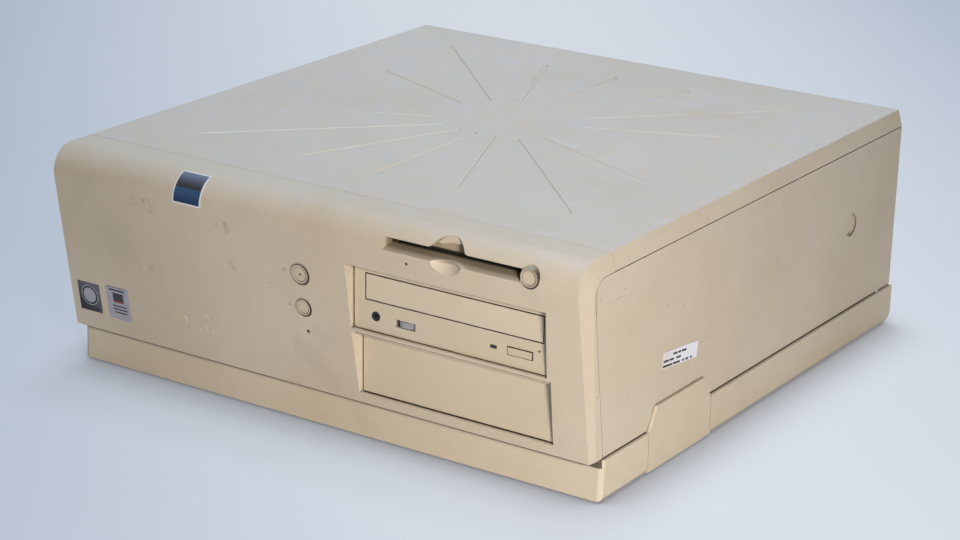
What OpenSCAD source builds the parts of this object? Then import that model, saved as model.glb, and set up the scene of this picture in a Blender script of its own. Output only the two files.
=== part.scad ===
// Desktop computer of the late 1990s: a low beige case whose cover, with the front
// bezel, swings up at the back over a steel chassis.
// X is across the case (+X right, seen from the front), the front faces -Y and Z is up.
// The origin is under the middle of the case, on the surface it stands on.

/* [Case] */
// Width across the lower edge of the cover's rims
case_w = 429; // [424:1:440]
// Depth, from the front bulge to the rear edge
case_d = 437.7; // [430:0.1:450]
// Height, from the feet to the top
case_h = 163.5; // [163:0.5:168]
// Height of the cover's lower edge
cover_z = 30; // [29:0.5:31]
// Wall of the plastic panels
skin_t = 2.6; // [2.2:0.1:3]
// Thickness of the sheet steel
sheet_t = 1; // [0.8:0.1:1.2]
// Width of the open seams between the panels
seam = 0.5; // [0.3:0.1:0.7]

/* [Cover] */
// Lean of the front face, its top towards the user
face_lean = 8.8; // [8:0.1:9.5]
// Radius that joins the front face to the top
front_round = 18.5; // [17:0.5:20]
// Height of the bevelled rim under the top
rim_drop = 12; // [10:0.5:14]
// Width of the bevelled rim
rim_in = 3.6; // [2.5:0.1:4.5]
// Narrowing of each side towards the bottom
side_taper = 1.5; // [0.5:0.1:2]
// Distance of the front face's edge inside the widest width
face_in = 2.7; // [2:0.1:3.5]
// Distance from the foot of the bezel back to the seam with the top
bezel_depth = 19.3; // [18:0.1:22]
// Width of the bezel's strip beside each side panel
strip_w = 14.4; // [13:0.1:15.5]
// Number of shallow grooves that spread over the top
ray_count = 14; // [8:2:18]
// Depth of the grooves
ray_depth = 0.8; // [0.3:0.1:1]
// Width of the grooves
ray_w = 3.4; // [1.8:0.1:4]

/* [Base] */
// Gap between the base and the cover
base_gap = 0.8; // [0.6:0.1:1.5]
// Height of the rubber feet
foot_h = 1.5; // [1:0.1:3]
// Distance of the base behind the foot of the bezel
base_setback = 11.2; // [10:0.1:13]
// How much the front of the base flares out at the bottom
base_flare = 1; // [0.5:0.1:2]
// How far each side of the base stands out past the rims
base_out = 0.8; // [0.3:0.1:1.5]
// Radius of the base's lower rear edge
base_round = 10; // [6:0.5:12]
// Radius of the base's upright front edges and lower side edges
base_edge = 4; // [2:0.5:5]

/* [Release buttons] */
// Distance of the buttons behind the foot of the bezel
release_y = 67; // [60:1:75]
// Length of the buttons at the bottom
release_l = 80; // [70:1:85]
// Height of the top of the buttons
release_top = 45; // [42:0.5:48]
// How far the buttons are pressed in
release_travel = 4; // [2:0.5:4.5]

/* [Drive bays] */
// Width of a wide drive's front
bay_face_w = 148; // [147:0.5:149]
// Height of a wide drive's front
bay_face_h = 41.6; // [41:0.1:42]
// Distance of the wide drives' left edge from the right side of the case
bay_from_side = 179.2; // [178.5:0.1:180.5]
// Lower edge of the upper wide drive's front
upper_bay_z = 83.8; // [83.5:0.1:84.5]
// Lower edge of the lower wide drive's front
lower_bay_z = 37.5; // [37:0.1:38]
// Distance of each drive front behind the bezel, at its lower edge
bay_setback = 3; // [2.6:0.1:3.4]
// Clearance between a drive front and the bezel
bay_gap = 0.4; // [0.3:0.05:0.6]
// Depth of the wide drive behind its front
cd_depth = 190; // [170:5:195]

/* [Disc drive] */
// Width of the tray's door
door_w = 135.3; // [130:0.1:137]
// Height of the tray's door
door_h = 17.4; // [16:0.1:18.5]
// Distance of the door's left edge from the front's left edge
door_x = 9.4; // [8:0.1:10]
// Distance of the door's lower edge above the front's lower edge
door_z = 21; // [20.5:0.1:22]
// Diameter of a disc
disc_d = 120; // [118:1:122]
// Diameter of the headphone jack
jack_d = 3.5; // [3.4:0.1:3.6]

/* [Diskette drive] */
// Distance of the diskette slot's middle from the right side of the case
slot_from_side = 96.3; // [95:0.1:98]
// Width of the diskette slot
slot_w = 95; // [94:0.5:96]
// Height of the diskette slot
slot_h = 4.2; // [4.1:0.1:4.5]
// Height of the slot's lower edge
slot_z = 148.3; // [147.8:0.1:148.6]
// Width of the recess in the bezel
recess_w = 103; // [101:0.5:104]
// Lower edge of the recess at the face
recess_z = 145.5; // [144.5:0.1:146]
// Height of the recess at the face
recess_h = 8.4; // [7.5:0.1:8.6]
// Radius of the finger hollow over the slot
finger_r = 15; // [14:0.1:15.2]
// Width of a diskette drive
floppy_w = 101.6; // [101:0.1:102]
// Height of a diskette drive
floppy_h = 25.4; // [25:0.1:25.6]
// Length of a diskette drive
floppy_l = 140; // [130:1:145]

/* [Buttons and badge] */
// Distance of the buttons from the left edge of the wide drives
button_from_bay = 37.6; // [36:0.1:39.5]
// Height of the power button
power_z = 113.7; // [112:0.1:115]
// Radius of the power button
power_r = 7; // [6:0.1:7.4]
// Height of the reset button
reset_z = 89.8; // [89:0.1:91]
// Radius of the reset button
reset_r = 5.9; // [5:0.1:6.2]
// Travel of both buttons
button_travel = 3; // [2:0.25:3.25]
// Height of the disk light
light_z = 72.6; // [71.5:0.1:74]
// Radial clearance of the round buttons in their holes
button_gap = 0.3; // [0.2:0.05:0.4]
// Distance of the badge from the left side of the case
badge_from_side = 108.7; // [100:0.1:120]
// Width of the badge
badge_w = 24; // [20:0.5:26]
// How far the badge stands proud of the bezel
badge_proud = 0.3; // [0.2:0.05:0.5]
// Thickness of the labels
label_t = 0.3; // [0.2:0.05:0.4]

/* [Inside] */
// Diameter of the cover's hinge pins
hinge_pin_d = 3; // [2.6:0.1:3.2]
// Radial running clearance of the hinge pins
hinge_gap = 0.05; // [0.03:0.01:0.09]
// Height of the main board's underside
board_z = 12; // [10:0.5:13]
// Side of the case fan
fan_size = 80; // [70:1:80]
// Number of blades on a fan
fan_blades = 7; // [5:1:9]
// Number of expansion slots
slot_count = 4; // [3:1:4]
// Number of memory modules
memory_count = 3; // [2:1:3]
// Number of fins on the processor's heat sink
fin_count = 14; // [8:1:18]

/* [Hidden] */
$fn = 64;

// Colours
beige = [0.79, 0.73, 0.64];
beige_dark = [0.72, 0.66, 0.56];
steel = [0.72, 0.73, 0.74];
dark_steel = [0.4, 0.41, 0.42];
black = [0.09, 0.09, 0.1];
board_green = [0.1, 0.36, 0.22];
gold = [0.8, 0.65, 0.3];
silver = [0.8, 0.81, 0.82];
paper = [0.92, 0.91, 0.87];
light_green = [0.2, 0.6, 0.25];

// Overlap that joins touching shapes, and the gap between pieces that rest on each other
eps = 0.01;
seat = 0.3;

// The badge lies round the front edge between two angles from the horizontal
badge_low = -3;
badge_high = 72;
badge_sunk = 0.6;

// The face: a plane that leans out by face_k for each millimetre of height,
// and runs into the round edge at round_y, round_z
face_k = tan(face_lean);
face_len = 1 / cos(face_lean);
round_z = case_h - front_round;
round_behind_foot = front_round * face_len - face_k * (round_z - cover_z);
face_half = case_w / 2 - face_in;
base_half = case_w / 2 + base_out;
base_h = cover_z - base_gap;
front_y = -case_d / 2;
rear_y = case_d / 2;
foot_y = front_y + front_round + badge_proud - round_behind_foot;
round_y = foot_y + round_behind_foot;
seam_y = foot_y + bezel_depth;
rim_z = case_h - rim_drop;

// Distance of the face along Y at a height
function face_y(z) = foot_y - face_k * (z - cover_z);
// Length of a button's stem, along its own axis, to just in front of its switch
function stem_length(z) = (switch_face_y - button_travel - 2 * seat - face_y(z)) * face_len;
// Distance of the round edge along Y at a height above its middle
function round_face_y(z) = round_y - sqrt(pow(front_round, 2) - pow(z - round_z, 2));
// Height of the side's outer surface over X at a height, and its lean
function side_x(z) = case_w / 2 - side_taper * (rim_z - z) / (rim_z - cover_z);
side_tilt = atan(side_taper / (rim_z - cover_z));

// The bays in the bezel
upper_front_y = face_y(upper_bay_z) + bay_setback;
lower_front_y = face_y(lower_bay_z) + bay_setback;
bay_x = case_w / 2 - bay_from_side;
bay_x1 = bay_x + bay_face_w;
bay_mid_x = bay_x + bay_face_w / 2;
open_x0 = bay_x - bay_gap;
open_x1 = bay_x1 + 4.3;
bar_z0 = lower_bay_z + bay_face_h + 2.4;
bar_z1 = upper_bay_z - 0.2;
open_z0 = lower_bay_z - 0.5;
open_z1 = upper_bay_z + bay_face_h + 4.8;
insert_in = 1.9;

// The disc drive
plate_t = 3;
cd_w = 146;
cd_h = 41;
cd_x0 = bay_mid_x - cd_w / 2;
cd_z0 = upper_bay_z + (bay_face_h - cd_h) / 2;
cd_back_y = upper_front_y + plate_t + cd_depth;
tray_w = door_w - 5;
tray_t = 11;
tray_l = 160;
tray_x0 = bay_x + door_x + 2.5;
tray_z0 = upper_bay_z + door_z + 2;
disc_x = tray_x0 + tray_w / 2;
disc_y = upper_front_y + plate_t + disc_d / 2 + 12;
spindle_r = 1.5;
spindle_gap = 0.05;
spindle_z0 = tray_z0 - seat - 4;
volume_x = bay_x + 40.7;
volume_y = upper_front_y + 8.4;
volume_z = upper_bay_z + 9.4;
volume_r = 8.7;
jack_x = bay_x + 17.5;
jack_z = upper_bay_z + 10.6;
jack_body_r = 3.2;
jack_gap = 0.05;
cd_light_x = bay_x + 107.9;
cd_light_z = jack_z;
cd_eject_x = bay_x + 118.7;
cd_eject_w = 18.4;
cd_eject_z = upper_bay_z + 7.9;
cd_eject_h = 5.3;

// The diskette drive and its recess in the bezel
slot_x = case_w / 2 - slot_from_side;
flap_w = 74;
flap_t = 1.2;
flap_y = foot_y - 2.7;
flap_z0 = slot_z + 0.4;
flap_z1 = slot_z + 9.4;
flap_pin_r = 0.6;
flap_axis_y = flap_y + flap_t / 2;
flap_axis_z = flap_z1 - 0.8;
fascia_y = flap_y + flap_t + seat;
fascia_t = 2;
floppy_x0 = slot_x - floppy_w / 2;
floppy_y0 = fascia_y + fascia_t + seat;
floppy_z0 = slot_z - 15.1;
slot_back_y = foot_y - 5.1;
recess_wall = 2;
finger_z = recess_z + 1.3;
finger_x = slot_x - 3.6;
dish_z = finger_z + 4.5;
dish_r = finger_r - 1.5;
arch_z = slot_z + 8.2;
eject_x = slot_x + 58.2;
eject_z = slot_z + 1.5;
eject_r = 5.2;
eject_ring_r = 6.5;
guide_back_y = foot_y - 10.2;
key_x0 = slot_x + 39;
key_x1 = key_x0 + 8;
key_y0 = foot_y - 7;
key_z0 = slot_z - 12;
key_z1 = key_z0 + 5;
small_light_x = slot_x - 33.6;
small_light_z = slot_z - 8.7;

// Buttons, lights, labels and grooves
button_x = bay_x - button_from_bay;
badge_x = badge_from_side - case_w / 2;
tube_back = 5.5;
collar_w = 1.2;
light_x = button_x + 1.1;
light_r = 0.9;
disk_light_r = 1.3;
small_light_r = 1.1;
lens_gap = 0.05;
ray_mid_y = foot_y + 219.3;
ray_half = case_w / 2 - 62.5;
plug_y = foot_y + 346.5;
plug_z = 95;
plug_r = 8.2;
plug_gap = 0.1;

// The cover's shell and hinge
top_inside_z = case_h - skin_t;
shell_z1 = top_inside_z - seat;
shell_z0 = shell_z1 - sheet_t;
shell_gap = 3.4;
shell_half = case_w / 2 - side_taper - skin_t - shell_gap;
pivot_z = shell_z0 - 7.7;
pivot_y = rear_y - 9.5;
lug_r = 3.2;
lug_t = 2;
lug_x = shell_half - 57;
panel_y0 = pivot_y + 3.5;
panel_y1 = panel_y0 + sheet_t;

// The chassis
base_t = 2.5;
foot_x = base_half - 38;
foot_in_y = case_d / 2 - 52;
foot_r = 9;
tray_floor_z = foot_h + base_t + seat;
floor_z = tray_floor_z + sheet_t;
chassis_half = shell_half - 2;
front_wall_y = foot_y + base_setback + base_t + 4.8;
chassis_top_z = shell_z0 - 7.6;
control_t = 1.5;
switch_face_y = front_wall_y - control_t - 2.9;
cage_x0 = bay_x - 1.5;
cage_x1 = bay_x1 + 1.5;
cage_y0 = front_wall_y;
cage_y1 = cd_back_y - 2;
cage_shelf_z = cd_z0 - seat - sheet_t;
floppy_shelf_z = floppy_z0 - seat - sheet_t;

// The release buttons
release_y0 = foot_y + release_y;
release_y1 = release_y0 + release_l;
release_z0 = foot_h + 0.5;
release_t = 3;
release_lean = 8.5;
release_gap = 0.4;
release_x0 = base_half - release_t - release_travel - release_gap;
release_guide_r = 3;
release_guide_z = 16;
release_guide_ys = [release_y0 + 15, release_y1 - 15];
guide_gap = 0.1;
guide_reach = 3;

// The power supply
psu_x1 = chassis_half - 2;
psu_x0 = psu_x1 - 137;
psu_y1 = panel_y0 - seat;
psu_y0 = psu_y1 - 138.7;
psu_z0 = floor_z + seat;
psu_z1 = psu_z0 + 86;
psu_fan_x = psu_x0 + 48;
psu_fan_z = psu_z0 + 43;
psu_fan_r = 34;
psu_fan_depth = 18;
inlet_x = psu_x0 + 112;
inlet_z = psu_z0 + 26;
inlet_w = 27;
inlet_h = 20;
selector_z = psu_z0 + 60;
selector_w = 17.2;
selector_h = 7.4;
selector_travel = 6;
harness_x = psu_x0 + 54;
harness_z = 84;

// The fans
fan_x = 134.5 - case_w / 2;
fan_z = 82;
fan_depth = 25;
fan_wall = 2.5;
fan_y0 = front_wall_y + sheet_t + seat;
fan_pin_r = 2;
fan_pin_gap = 0.05;
spider_t = 3;
speaker_x = 49.5 - case_w / 2;
speaker_z = 100;
speaker_r = 25;
speaker_rim = 5;

// The hard drive
hd_x0 = 13 - chassis_half;
hd_y0 = foot_y + 24;
hd_w = 101.6;
hd_h = 25.4;
hd_l = 147;
hd_z0 = floor_z + 8;

// The main board and what stands on it
board_t = 1.6;
board_top = board_z + board_t;
board_x0 = 15 - chassis_half;
board_x1 = psu_x0 - 6;
board_notch_x = cage_x0 - 3;
board_notch_y = cage_y1 + 3;
board_y0 = hd_y0 + hd_l + 1.8;
board_y1 = panel_y0 - 3;
ribbon_x = hd_x0 + 38;
ribbon_y = board_y0 + 24.5;
ribbon_z = hd_z0 + 7;
ribbon_w = 50;
port_x0 = board_x0 + 4;
port_x1 = port_x0 + 124;
port_rows_h = 26;
port_y0 = board_y1 - 14;
port_y1 = panel_y1 + 1;
round_port_zs = [6.8, 19.2];
round_port_r = 4.6;
round_port_l = 8;
net_w = 12;
net_h = 8;
net_z = 3.5;
memory_x = -8;
memory_y = cage_y1 + 4.3;
memory_pitch = 14;
memory_l = 133;
memory_t = 1.3;
memory_gap = 0.15;
memory_seat_z = 3;
cpu_x0 = -178;
cpu_w = 132;
cpu_y = board_y0 + 38;
cpu_back_y = cpu_y + 12;
cpu_z1 = board_top + 68;

// The expansion slots
riser_x = -26;
riser_y1 = board_y1 - 13;
riser_y0 = riser_y1 - 135;
riser_z1 = 136;
riser_bracket_z1 = 146;
slot_pitch = 20.32;
slot_first_z = 56;
slot_cover_x0 = -150;
slot_cover_x1 = -31;
slot_window_h = 14;
slot_plate_h = 18;
card_row = 1;
card_x0 = -137;
card_edge_l = 78;

function slot_z_at(i) = slot_first_z + i * slot_pitch;

// ---- Shared shapes ----

module slab(x0, x1, y0, y1, z0, z1) {
    translate([x0, y0, z0]) cube([x1 - x0, y1 - y0, z1 - z0]);
}

// An outline in Y and Z, drawn out along X
module along_x(x0, x1) {
    translate([x0, 0, 0]) rotate([90, 0, 90]) linear_extrude(x1 - x0) children();
}

// An outline in X and Z, drawn out along Y
module along_y(y0, y1) {
    translate([0, y1, 0]) rotate([90, 0, 0]) linear_extrude(y1 - y0) children();
}

// Places its children on the leaning face, with Z up the face and -Y outwards
module on_face(x, z) {
    translate([x, face_y(z), z]) rotate([face_lean, 0, 0]) children();
}

// A cylinder on the leaning face, from y0 to y1 behind it
module face_rod(r, y0, y1) {
    translate([0, y0, 0]) rotate([-90, 0, 0]) cylinder(r = r, h = y1 - y0);
}

// Cylinders along X and Y
module rod_x(x0, x1, y, z, r) {
    translate([x0, y, z]) rotate([0, 90, 0]) cylinder(r = r, h = x1 - x0);
}

module rod_y(x, y0, y1, z, r) {
    translate([x, y0, z]) rotate([-90, 0, 0]) cylinder(r = r, h = y1 - y0);
}

// The part of a disc between two angles less than a half turn apart
module sector(y, z, r, from, to) {
    far = 3 * r;
    mid = (from + to) / 2;
    translate([y, z]) intersection() {
        circle(r);
        polygon([
            [-0.1 * r * cos(mid), -0.1 * r * sin(mid)], [r * cos(from), r * sin(from)],
            [far * cos(mid), far * sin(mid)], [r * cos(to), r * sin(to)]
        ]);
    }
}

// The side view of the cover, inset all round, down to a height
module side_profile(inset, back, low) {
    r = front_round - inset;
    foot = face_y(low) + inset * face_len;
    polygon([
        [foot, low],
        [round_y - r / face_len, round_z - r * face_k / face_len],
        [round_y, round_z],
        [round_y, round_z + r],
        [back, round_z + r],
        [back, low]
    ]);
    sector(round_y, round_z, r, 180 + face_lean, 90);
}

// The front view of the cover, inset all round, down to a height
module front_profile(inset, low) {
    side = case_w / 2 - inset;
    bottom = side - side_taper * (rim_z - low) / (rim_z - cover_z);
    rim = side - rim_in;
    polygon([
        [-bottom, low], [-side, rim_z], [-rim, case_h - inset],
        [rim, case_h - inset], [side, rim_z], [bottom, low]
    ]);
}

// The side view of a side panel, or of its place, wider by a gap
module side_field(gap) {
    r = 12 + gap;
    top = rim_z - seam / 2 + gap;
    low = cover_z - gap;
    line = strip_w * face_len - gap * face_len;
    corner_z = top - r;
    corner_y = face_y(corner_z) + line + r * face_len;
    polygon([
        [face_y(low) + line, low],
        [corner_y - r / face_len, corner_z - r * face_k / face_len],
        [corner_y, corner_z],
        [corner_y, top],
        [rear_y + gap, top],
        [rear_y + gap, low]
    ]);
    sector(corner_y, corner_z, r, 180 + face_lean, 90);
}

// The outline of a release button in Y and Z, wider by a gap
module release_outline(gap) {
    slope = release_lean;
    polygon([
        [release_y0 - gap, release_z0 - gap],
        [release_y0 - gap, cover_z - 2],
        [release_y0 + slope - gap / 2, release_top - 1 + gap],
        [release_y0 + slope + 1, release_top + gap],
        [release_y1 - slope - 1, release_top + gap],
        [release_y1 - slope + gap / 2, release_top - 1 + gap],
        [release_y1 + gap, cover_z - 2],
        [release_y1 + gap, release_z0 - gap]
    ]);
}

// A bevel off the side edges of the face, as a cone round its top, moved in by an inset
module edge_bevels(inset) {
    slope = (strip_w - 0.8) / face_in;
    x0 = face_half - inset;
    over = 0.15;
    far = 60;
    for (side = [0, 1])
        mirror([side, 0, 0]) {
            translate([x0, foot_y, cover_z]) rotate([face_lean, 0, 0]) rotate([0, 0, -atan(1 / slope)])
                slab(0, 20, -far, far, -40, 180);
            difference() {
                along_x(x0 - over, x0 + face_in + over)
                    translate([round_y, round_z]) polygon([[0, 0], [0, far], [-far, -far * face_k]]);
                translate([x0 - 2 * over, round_y, round_z]) rotate([0, 90, 0])
                    cylinder(r1 = front_round + 2 * over * slope,
                        r2 = front_round - (face_in + 2 * over) * slope, h = face_in + 4 * over);
            }
        }
}

// ---- The cover ----

// The finger hollow and the slot's recess, as one cut
module diskette_recess() {
    x0 = slot_x - recess_w / 2;
    x1 = slot_x + recess_w / 2;
    back = slot_back_y - 1.3;
    top = recess_z + recess_h;
    front = front_y - 5;
    reach = finger_r + 7;
    along_x(x0, x1)
        polygon([
            [front, recess_z - 1], [face_y(recess_z), recess_z], [back, slot_z], [back, top], [front, top]
        ]);
    slab(slot_x - slot_w / 2, slot_x + slot_w / 2, back - 1, slot_back_y + 1, slot_z, top);
    // lower hollow, a shallow dish
    ball_r = dish_r + 4;
    intersection() {
        on_face(finger_x, dish_z) translate([0, -sqrt(pow(ball_r, 2) - pow(dish_r, 2)), 0]) sphere(r = ball_r);
        slab(finger_x - reach, finger_x + reach, front, slot_back_y, dish_z - reach, recess_z + 3);
    }
    // upper hollow, round at the top and flared where it meets the recess
    flare_r = 3;
    flare_x = sqrt(pow(finger_r + flare_r, 2) - pow(top + flare_r - finger_z, 2));
    along_y(front, back) translate([finger_x, finger_z]) {
        intersection() {
            circle(finger_r);
            translate([-reach, 2]) square(2 * reach);
        }
        for (side = [-1, 1])
            difference() {
                polygon([[0, 2], [side * flare_x, 2], [side * flare_x, top + flare_r - finger_z], [0, 3]]);
                translate([side * flare_x, top + flare_r - finger_z]) circle(flare_r + eps);
            }
    }
    // low arch through to the flap
    arch_r = 32;
    intersection() {
        rod_y(finger_x + 2, back - 1, slot_back_y + 1, arch_z - arch_r, arch_r);
        slab(finger_x - reach, finger_x + reach, back - 1, slot_back_y + 1, slot_z, arch_z + 1);
    }
}

// The side walls of both bays, which close in from the opening to the drive fronts
module bezel_cheeks() {
    deep = 1;
    wall = 2;
    intersection() {
        union() {
            cheek_pair(open_z0 - wall, bar_z0 + 0.5, face_y(bar_z0), lower_front_y, lower_front_y + deep,
                open_x0 + insert_in, open_x1 - wall);
            cheek_pair(bar_z0, open_z1 + wall, face_y(open_z1), upper_front_y, upper_front_y + deep,
                open_x0, bay_x1 + bay_gap);
            // sloping roof of the upper bay
            along_x(open_x0 - wall, open_x1 + wall)
                polygon([
                    [face_y(open_z1) - 3, open_z1], [face_y(open_z1) - 3, open_z1 + wall],
                    [upper_front_y, upper_bay_z + bay_face_h + wall + 0.6],
                    [upper_front_y, upper_bay_z + bay_face_h + 0.6]
                ]);
        }
        along_x(open_x0 - wall - 1, open_x1 + wall + 1) side_profile(0, seam_y, cover_z);
    }
}

// One wall on each side, from the face back to inner edges at y1 and on to y2
module cheek_pair(z0, z1, face, y1, y2, inner_x0, inner_x1) {
    wall = 2;
    front = foot_y - 20;
    translate([0, 0, z0]) linear_extrude(z1 - z0)
        for (c = [[open_x0, -wall, inner_x0], [open_x1, wall, inner_x1]])
            polygon([
                [c[0] + c[1], front], [c[0], front], [c[0], face], [c[2], y1], [c[2], y2], [c[0] + c[1], y2]
            ]);
}

module front_bezel() {
    through = 5;
    color(beige) difference() {
        union() {
            difference() {
                bezel_body();
                diskette_recess();
            }
            // raised ring and guide of the eject button
            rod_y(eject_x, round_face_y(eject_z) - 0.7, guide_back_y, eject_z, eject_ring_r);
        }
        for (b = [[power_z, power_r], [reset_z, reset_r]])
            on_face(button_x, b[0]) face_rod(b[1] + button_gap, -through, tube_back + 1);
        rod_y(eject_x, front_y - through, slot_back_y + 1, eject_z, eject_r + button_gap);
        on_face(light_x, light_z) face_rod(disk_light_r, -through, through);
        on_face(small_light_x, small_light_z) face_rod(small_light_r, -through, through);
        // pocket for the badge
        badge_band(front_round - badge_sunk, front_round + 3, 0.15);
        moulded_signs();
    }
}

// Shallow signs beside the buttons: a ring with a bar, and two bars
module moulded_signs() {
    sign_deep = 0.25;
    ring_r = 1.7;
    bar = 0.5;
    on_face(button_x - 13.5, power_z) {
        difference() {
            face_rod(ring_r, -1, sign_deep);
            face_rod(ring_r - bar, -2, 1);
        }
        slab(-bar / 2, bar / 2, -1, sign_deep, 0.4, 2.4);
    }
    for (dz = [0.4, -1])
        on_face(button_x - 12, reset_z) slab(-1.6, 1.6, -1, sign_deep, dz, dz + bar);
}

// The bezel before the recess and the holes are cut
module bezel_body() {
    tab_l = 16;
    tab_t = 1.6;
    difference() {
        intersection() {
            along_x(-case_w / 2, case_w / 2) side_profile(0, seam_y, cover_z);
            along_y(front_y - 5, seam_y) front_profile(0, cover_z);
        }
        difference() {
            intersection() {
                along_x(-case_w / 2, case_w / 2) side_profile(skin_t, seam_y + 1, cover_z - 1);
                along_y(front_y - 5, seam_y + 1) front_profile(skin_t, cover_z - 1);
            }
            edge_bevels(skin_t);
        }
        along_x(-case_w / 2 - 1, case_w / 2 + 1) side_field(seam / 2);
        edge_bevels(0);
        slab(open_x0, open_x1, front_y - 5, foot_y + 10, open_z0, open_z1);
        // the lip under the lower bay is thinner, so that it lifts past the insert
        slab(open_x0 - 2, open_x1 + 2, lower_front_y - bay_gap, foot_y + 10, cover_z - 1, open_z0);
    }
    // bar between the bays
    intersection() {
        along_x(open_x0 - 1, open_x1 + 1) side_profile(0, seam_y, cover_z);
        slab(open_x0 - 1, open_x1 + 1, front_y - 5, upper_front_y - bay_gap, bar_z0, bar_z1);
    }
    bezel_cheeks();
    // walls of the recess round the diskette slot
    face_block(slot_x - recess_w / 2 - recess_wall, slot_x + recess_w / 2 + recess_wall,
        recess_z - recess_wall - 1, arch_z + 4);
    face_block(finger_x - finger_r - recess_wall, finger_x + finger_r + recess_wall,
        dish_z - dish_r - recess_wall, case_h - 1);
    // guide tubes of the round buttons, with a small raised ring round each
    for (b = [[power_z, power_r], [reset_z, reset_r]])
        on_face(button_x, b[0]) {
            face_rod(b[1] + button_gap + 1.5, 1, tube_back);
            face_rod(b[1] + button_gap + 0.6, -0.5, 1);
        }
    // tabs that reach under the steel shell
    for (x = [34.5 - case_w / 2, 94.5 - case_w / 2, button_x - 36, button_x + 24]) {
        slab(x - tab_l / 2, x + tab_l / 2, seam_y - 8, seam_y + 9, shell_z0 - seat - tab_t, shell_z0 - seat);
        slab(x - tab_l / 2, x + tab_l / 2, seam_y - 8, seam_y - 4, shell_z0 - seat - tab_t, top_inside_z + 0.5);
    }
}

// A block behind the face, back to the wall of the diskette slot
module face_block(x0, x1, z0, z1) {
    intersection() {
        along_x(x0, x1) side_profile(0, seam_y, cover_z);
        slab(x0, x1, front_y - 5, slot_back_y, z0, z1);
    }
}

// A band on the round edge, bent along the badge's place
module badge_band(r0, r1, gap) {
    far = 60;
    turn = gap / front_round * 180 / PI;
    low = badge_low - turn;
    high = badge_high + turn;
    mid = (low + high) / 2;
    along_x(badge_x - gap, badge_x + badge_w + gap) translate([round_y, round_z])
        intersection() {
            difference() {
                circle(r1);
                circle(r0);
            }
            polygon([
                [0, 0], [-far * cos(low), far * sin(low)],
                [-far * cos(mid), far * sin(mid)], [-far * cos(high), far * sin(high)]
            ]);
        }
}

module badge_plate() {
    color(silver) badge_band(front_round - badge_sunk, front_round + badge_proud, 0);
}

module top_panel() {
    color(beige) difference() {
        along_y(seam_y + seam, rear_y) difference() {
            front_profile(0, cover_z);
            front_profile(skin_t, cover_z - 1);
        }
        // all below the rim belongs to the side panels
        slab(-case_w, case_w, seam_y - 1, rear_y + 1, 0, rim_z + seam / 2);
        // grooves spread evenly over both halves, with none straight to the sides
        for (turn = [0, 180], i = [1 : ray_count / 2]) {
            a = turn + i * 180 / (ray_count / 2 + 1);
            translate([0, ray_mid_y, case_h]) rotate([0, 0, a]) ray_groove(ray_start(a), ray_end(a));
        }
    }
}

// They start round an oval, nearer in at the front, and end along a square
function ray_start(a) = 44 + 9 * sin(a) + 12 * pow(cos(a), 2);
function ray_end(a) = ray_half / max(abs(cos(a)), abs(sin(a)));

// A shallow groove with a round floor, from x0 to x1
module ray_groove(x0, x1) {
    r = (pow(ray_w / 2, 2) + pow(ray_depth, 2)) / (2 * ray_depth);
    translate([x0, 0, r - ray_depth]) rotate([0, 90, 0]) cylinder(r = r, h = x1 - x0);
}

module side_panel(side) {
    low_half = case_w / 2 - side_taper;
    rib_zs = [cover_z + 22, cover_z + 68, rim_z - 7.5];
    rib_t = 1.6;
    margin = 12;
    difference() {
        union() {
            intersection() {
                along_x(-case_w / 2 - 1, case_w / 2 + 1) side_field(-seam / 2);
                along_y(foot_y, rear_y)
                    polygon([
                        [side * low_half, cover_z], [side * case_w / 2, rim_z],
                        [side * (case_w / 2 - skin_t), rim_z], [side * (low_half - skin_t), cover_z]
                    ]);
            }
            // ribs that rest against the steel shell
            for (z = rib_zs)
                mirror([side > 0 ? 0 : 1, 0, 0])
                    slab(shell_half + seat, side_x(z) - 1, seam_y + margin, rear_y - margin, z, z + rib_t);
        }
        along_x(-case_w / 2 - 1, case_w / 2 + 1) release_outline(release_gap);
    }
}

module side_panel_left() {
    color(beige) side_panel(-1);
}

// The right panel also has a boss with a hole, closed by a plug
module side_panel_right() {
    boss_l = 4.7;
    color(beige) difference() {
        union() {
            side_panel(1);
            rod_x(shell_half + seat, shell_half + seat + boss_l, plug_y, plug_z, plug_r + 2.6);
        }
        rod_x(shell_half - 1, case_w, plug_y, plug_z, plug_r);
    }
}

module side_plug() {
    r = plug_r - plug_gap;
    x1 = side_x(plug_z) - 0.8;
    dish = 0.8;
    notch = 0.9;
    color(beige) difference() {
        rod_x(shell_half + seat, x1, plug_y, plug_z, r);
        rod_x(x1 - dish, x1 + 1, plug_y, plug_z, r - 2 * dish);
        for (s = [-1, 1])
            translate([x1 - 2 * dish, plug_y, plug_z + s * (r - 1.2)])
                slab(0, 3, -notch, notch, -notch, notch);
    }
}

module side_label() {
    label_l = 45.2;
    label_h = 11.2;
    skew = 6.4;
    color(paper) translate([side_x(70) + 0.05, foot_y + 105.5, 70.6])
        rotate([0, side_tilt, 0]) rotate([-skew, 0, 0])
            translate([0, -label_l / 2, -label_h / 2]) cube([label_t, label_l, label_h]);
}

// The two square labels on the face
module corner_labels() {
    color(black) corner_label(19.2 - case_w / 2, cover_z + 24.2, 19.8, 22.2);
    color(paper) corner_label(45.8 - case_w / 2, cover_z + 24.6, 20, 24.8);
}

module corner_label(x, z, w, h) {
    on_face(x, z) translate([-w / 2, -label_t, -h / 2]) cube([w, label_t, h]);
}

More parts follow.
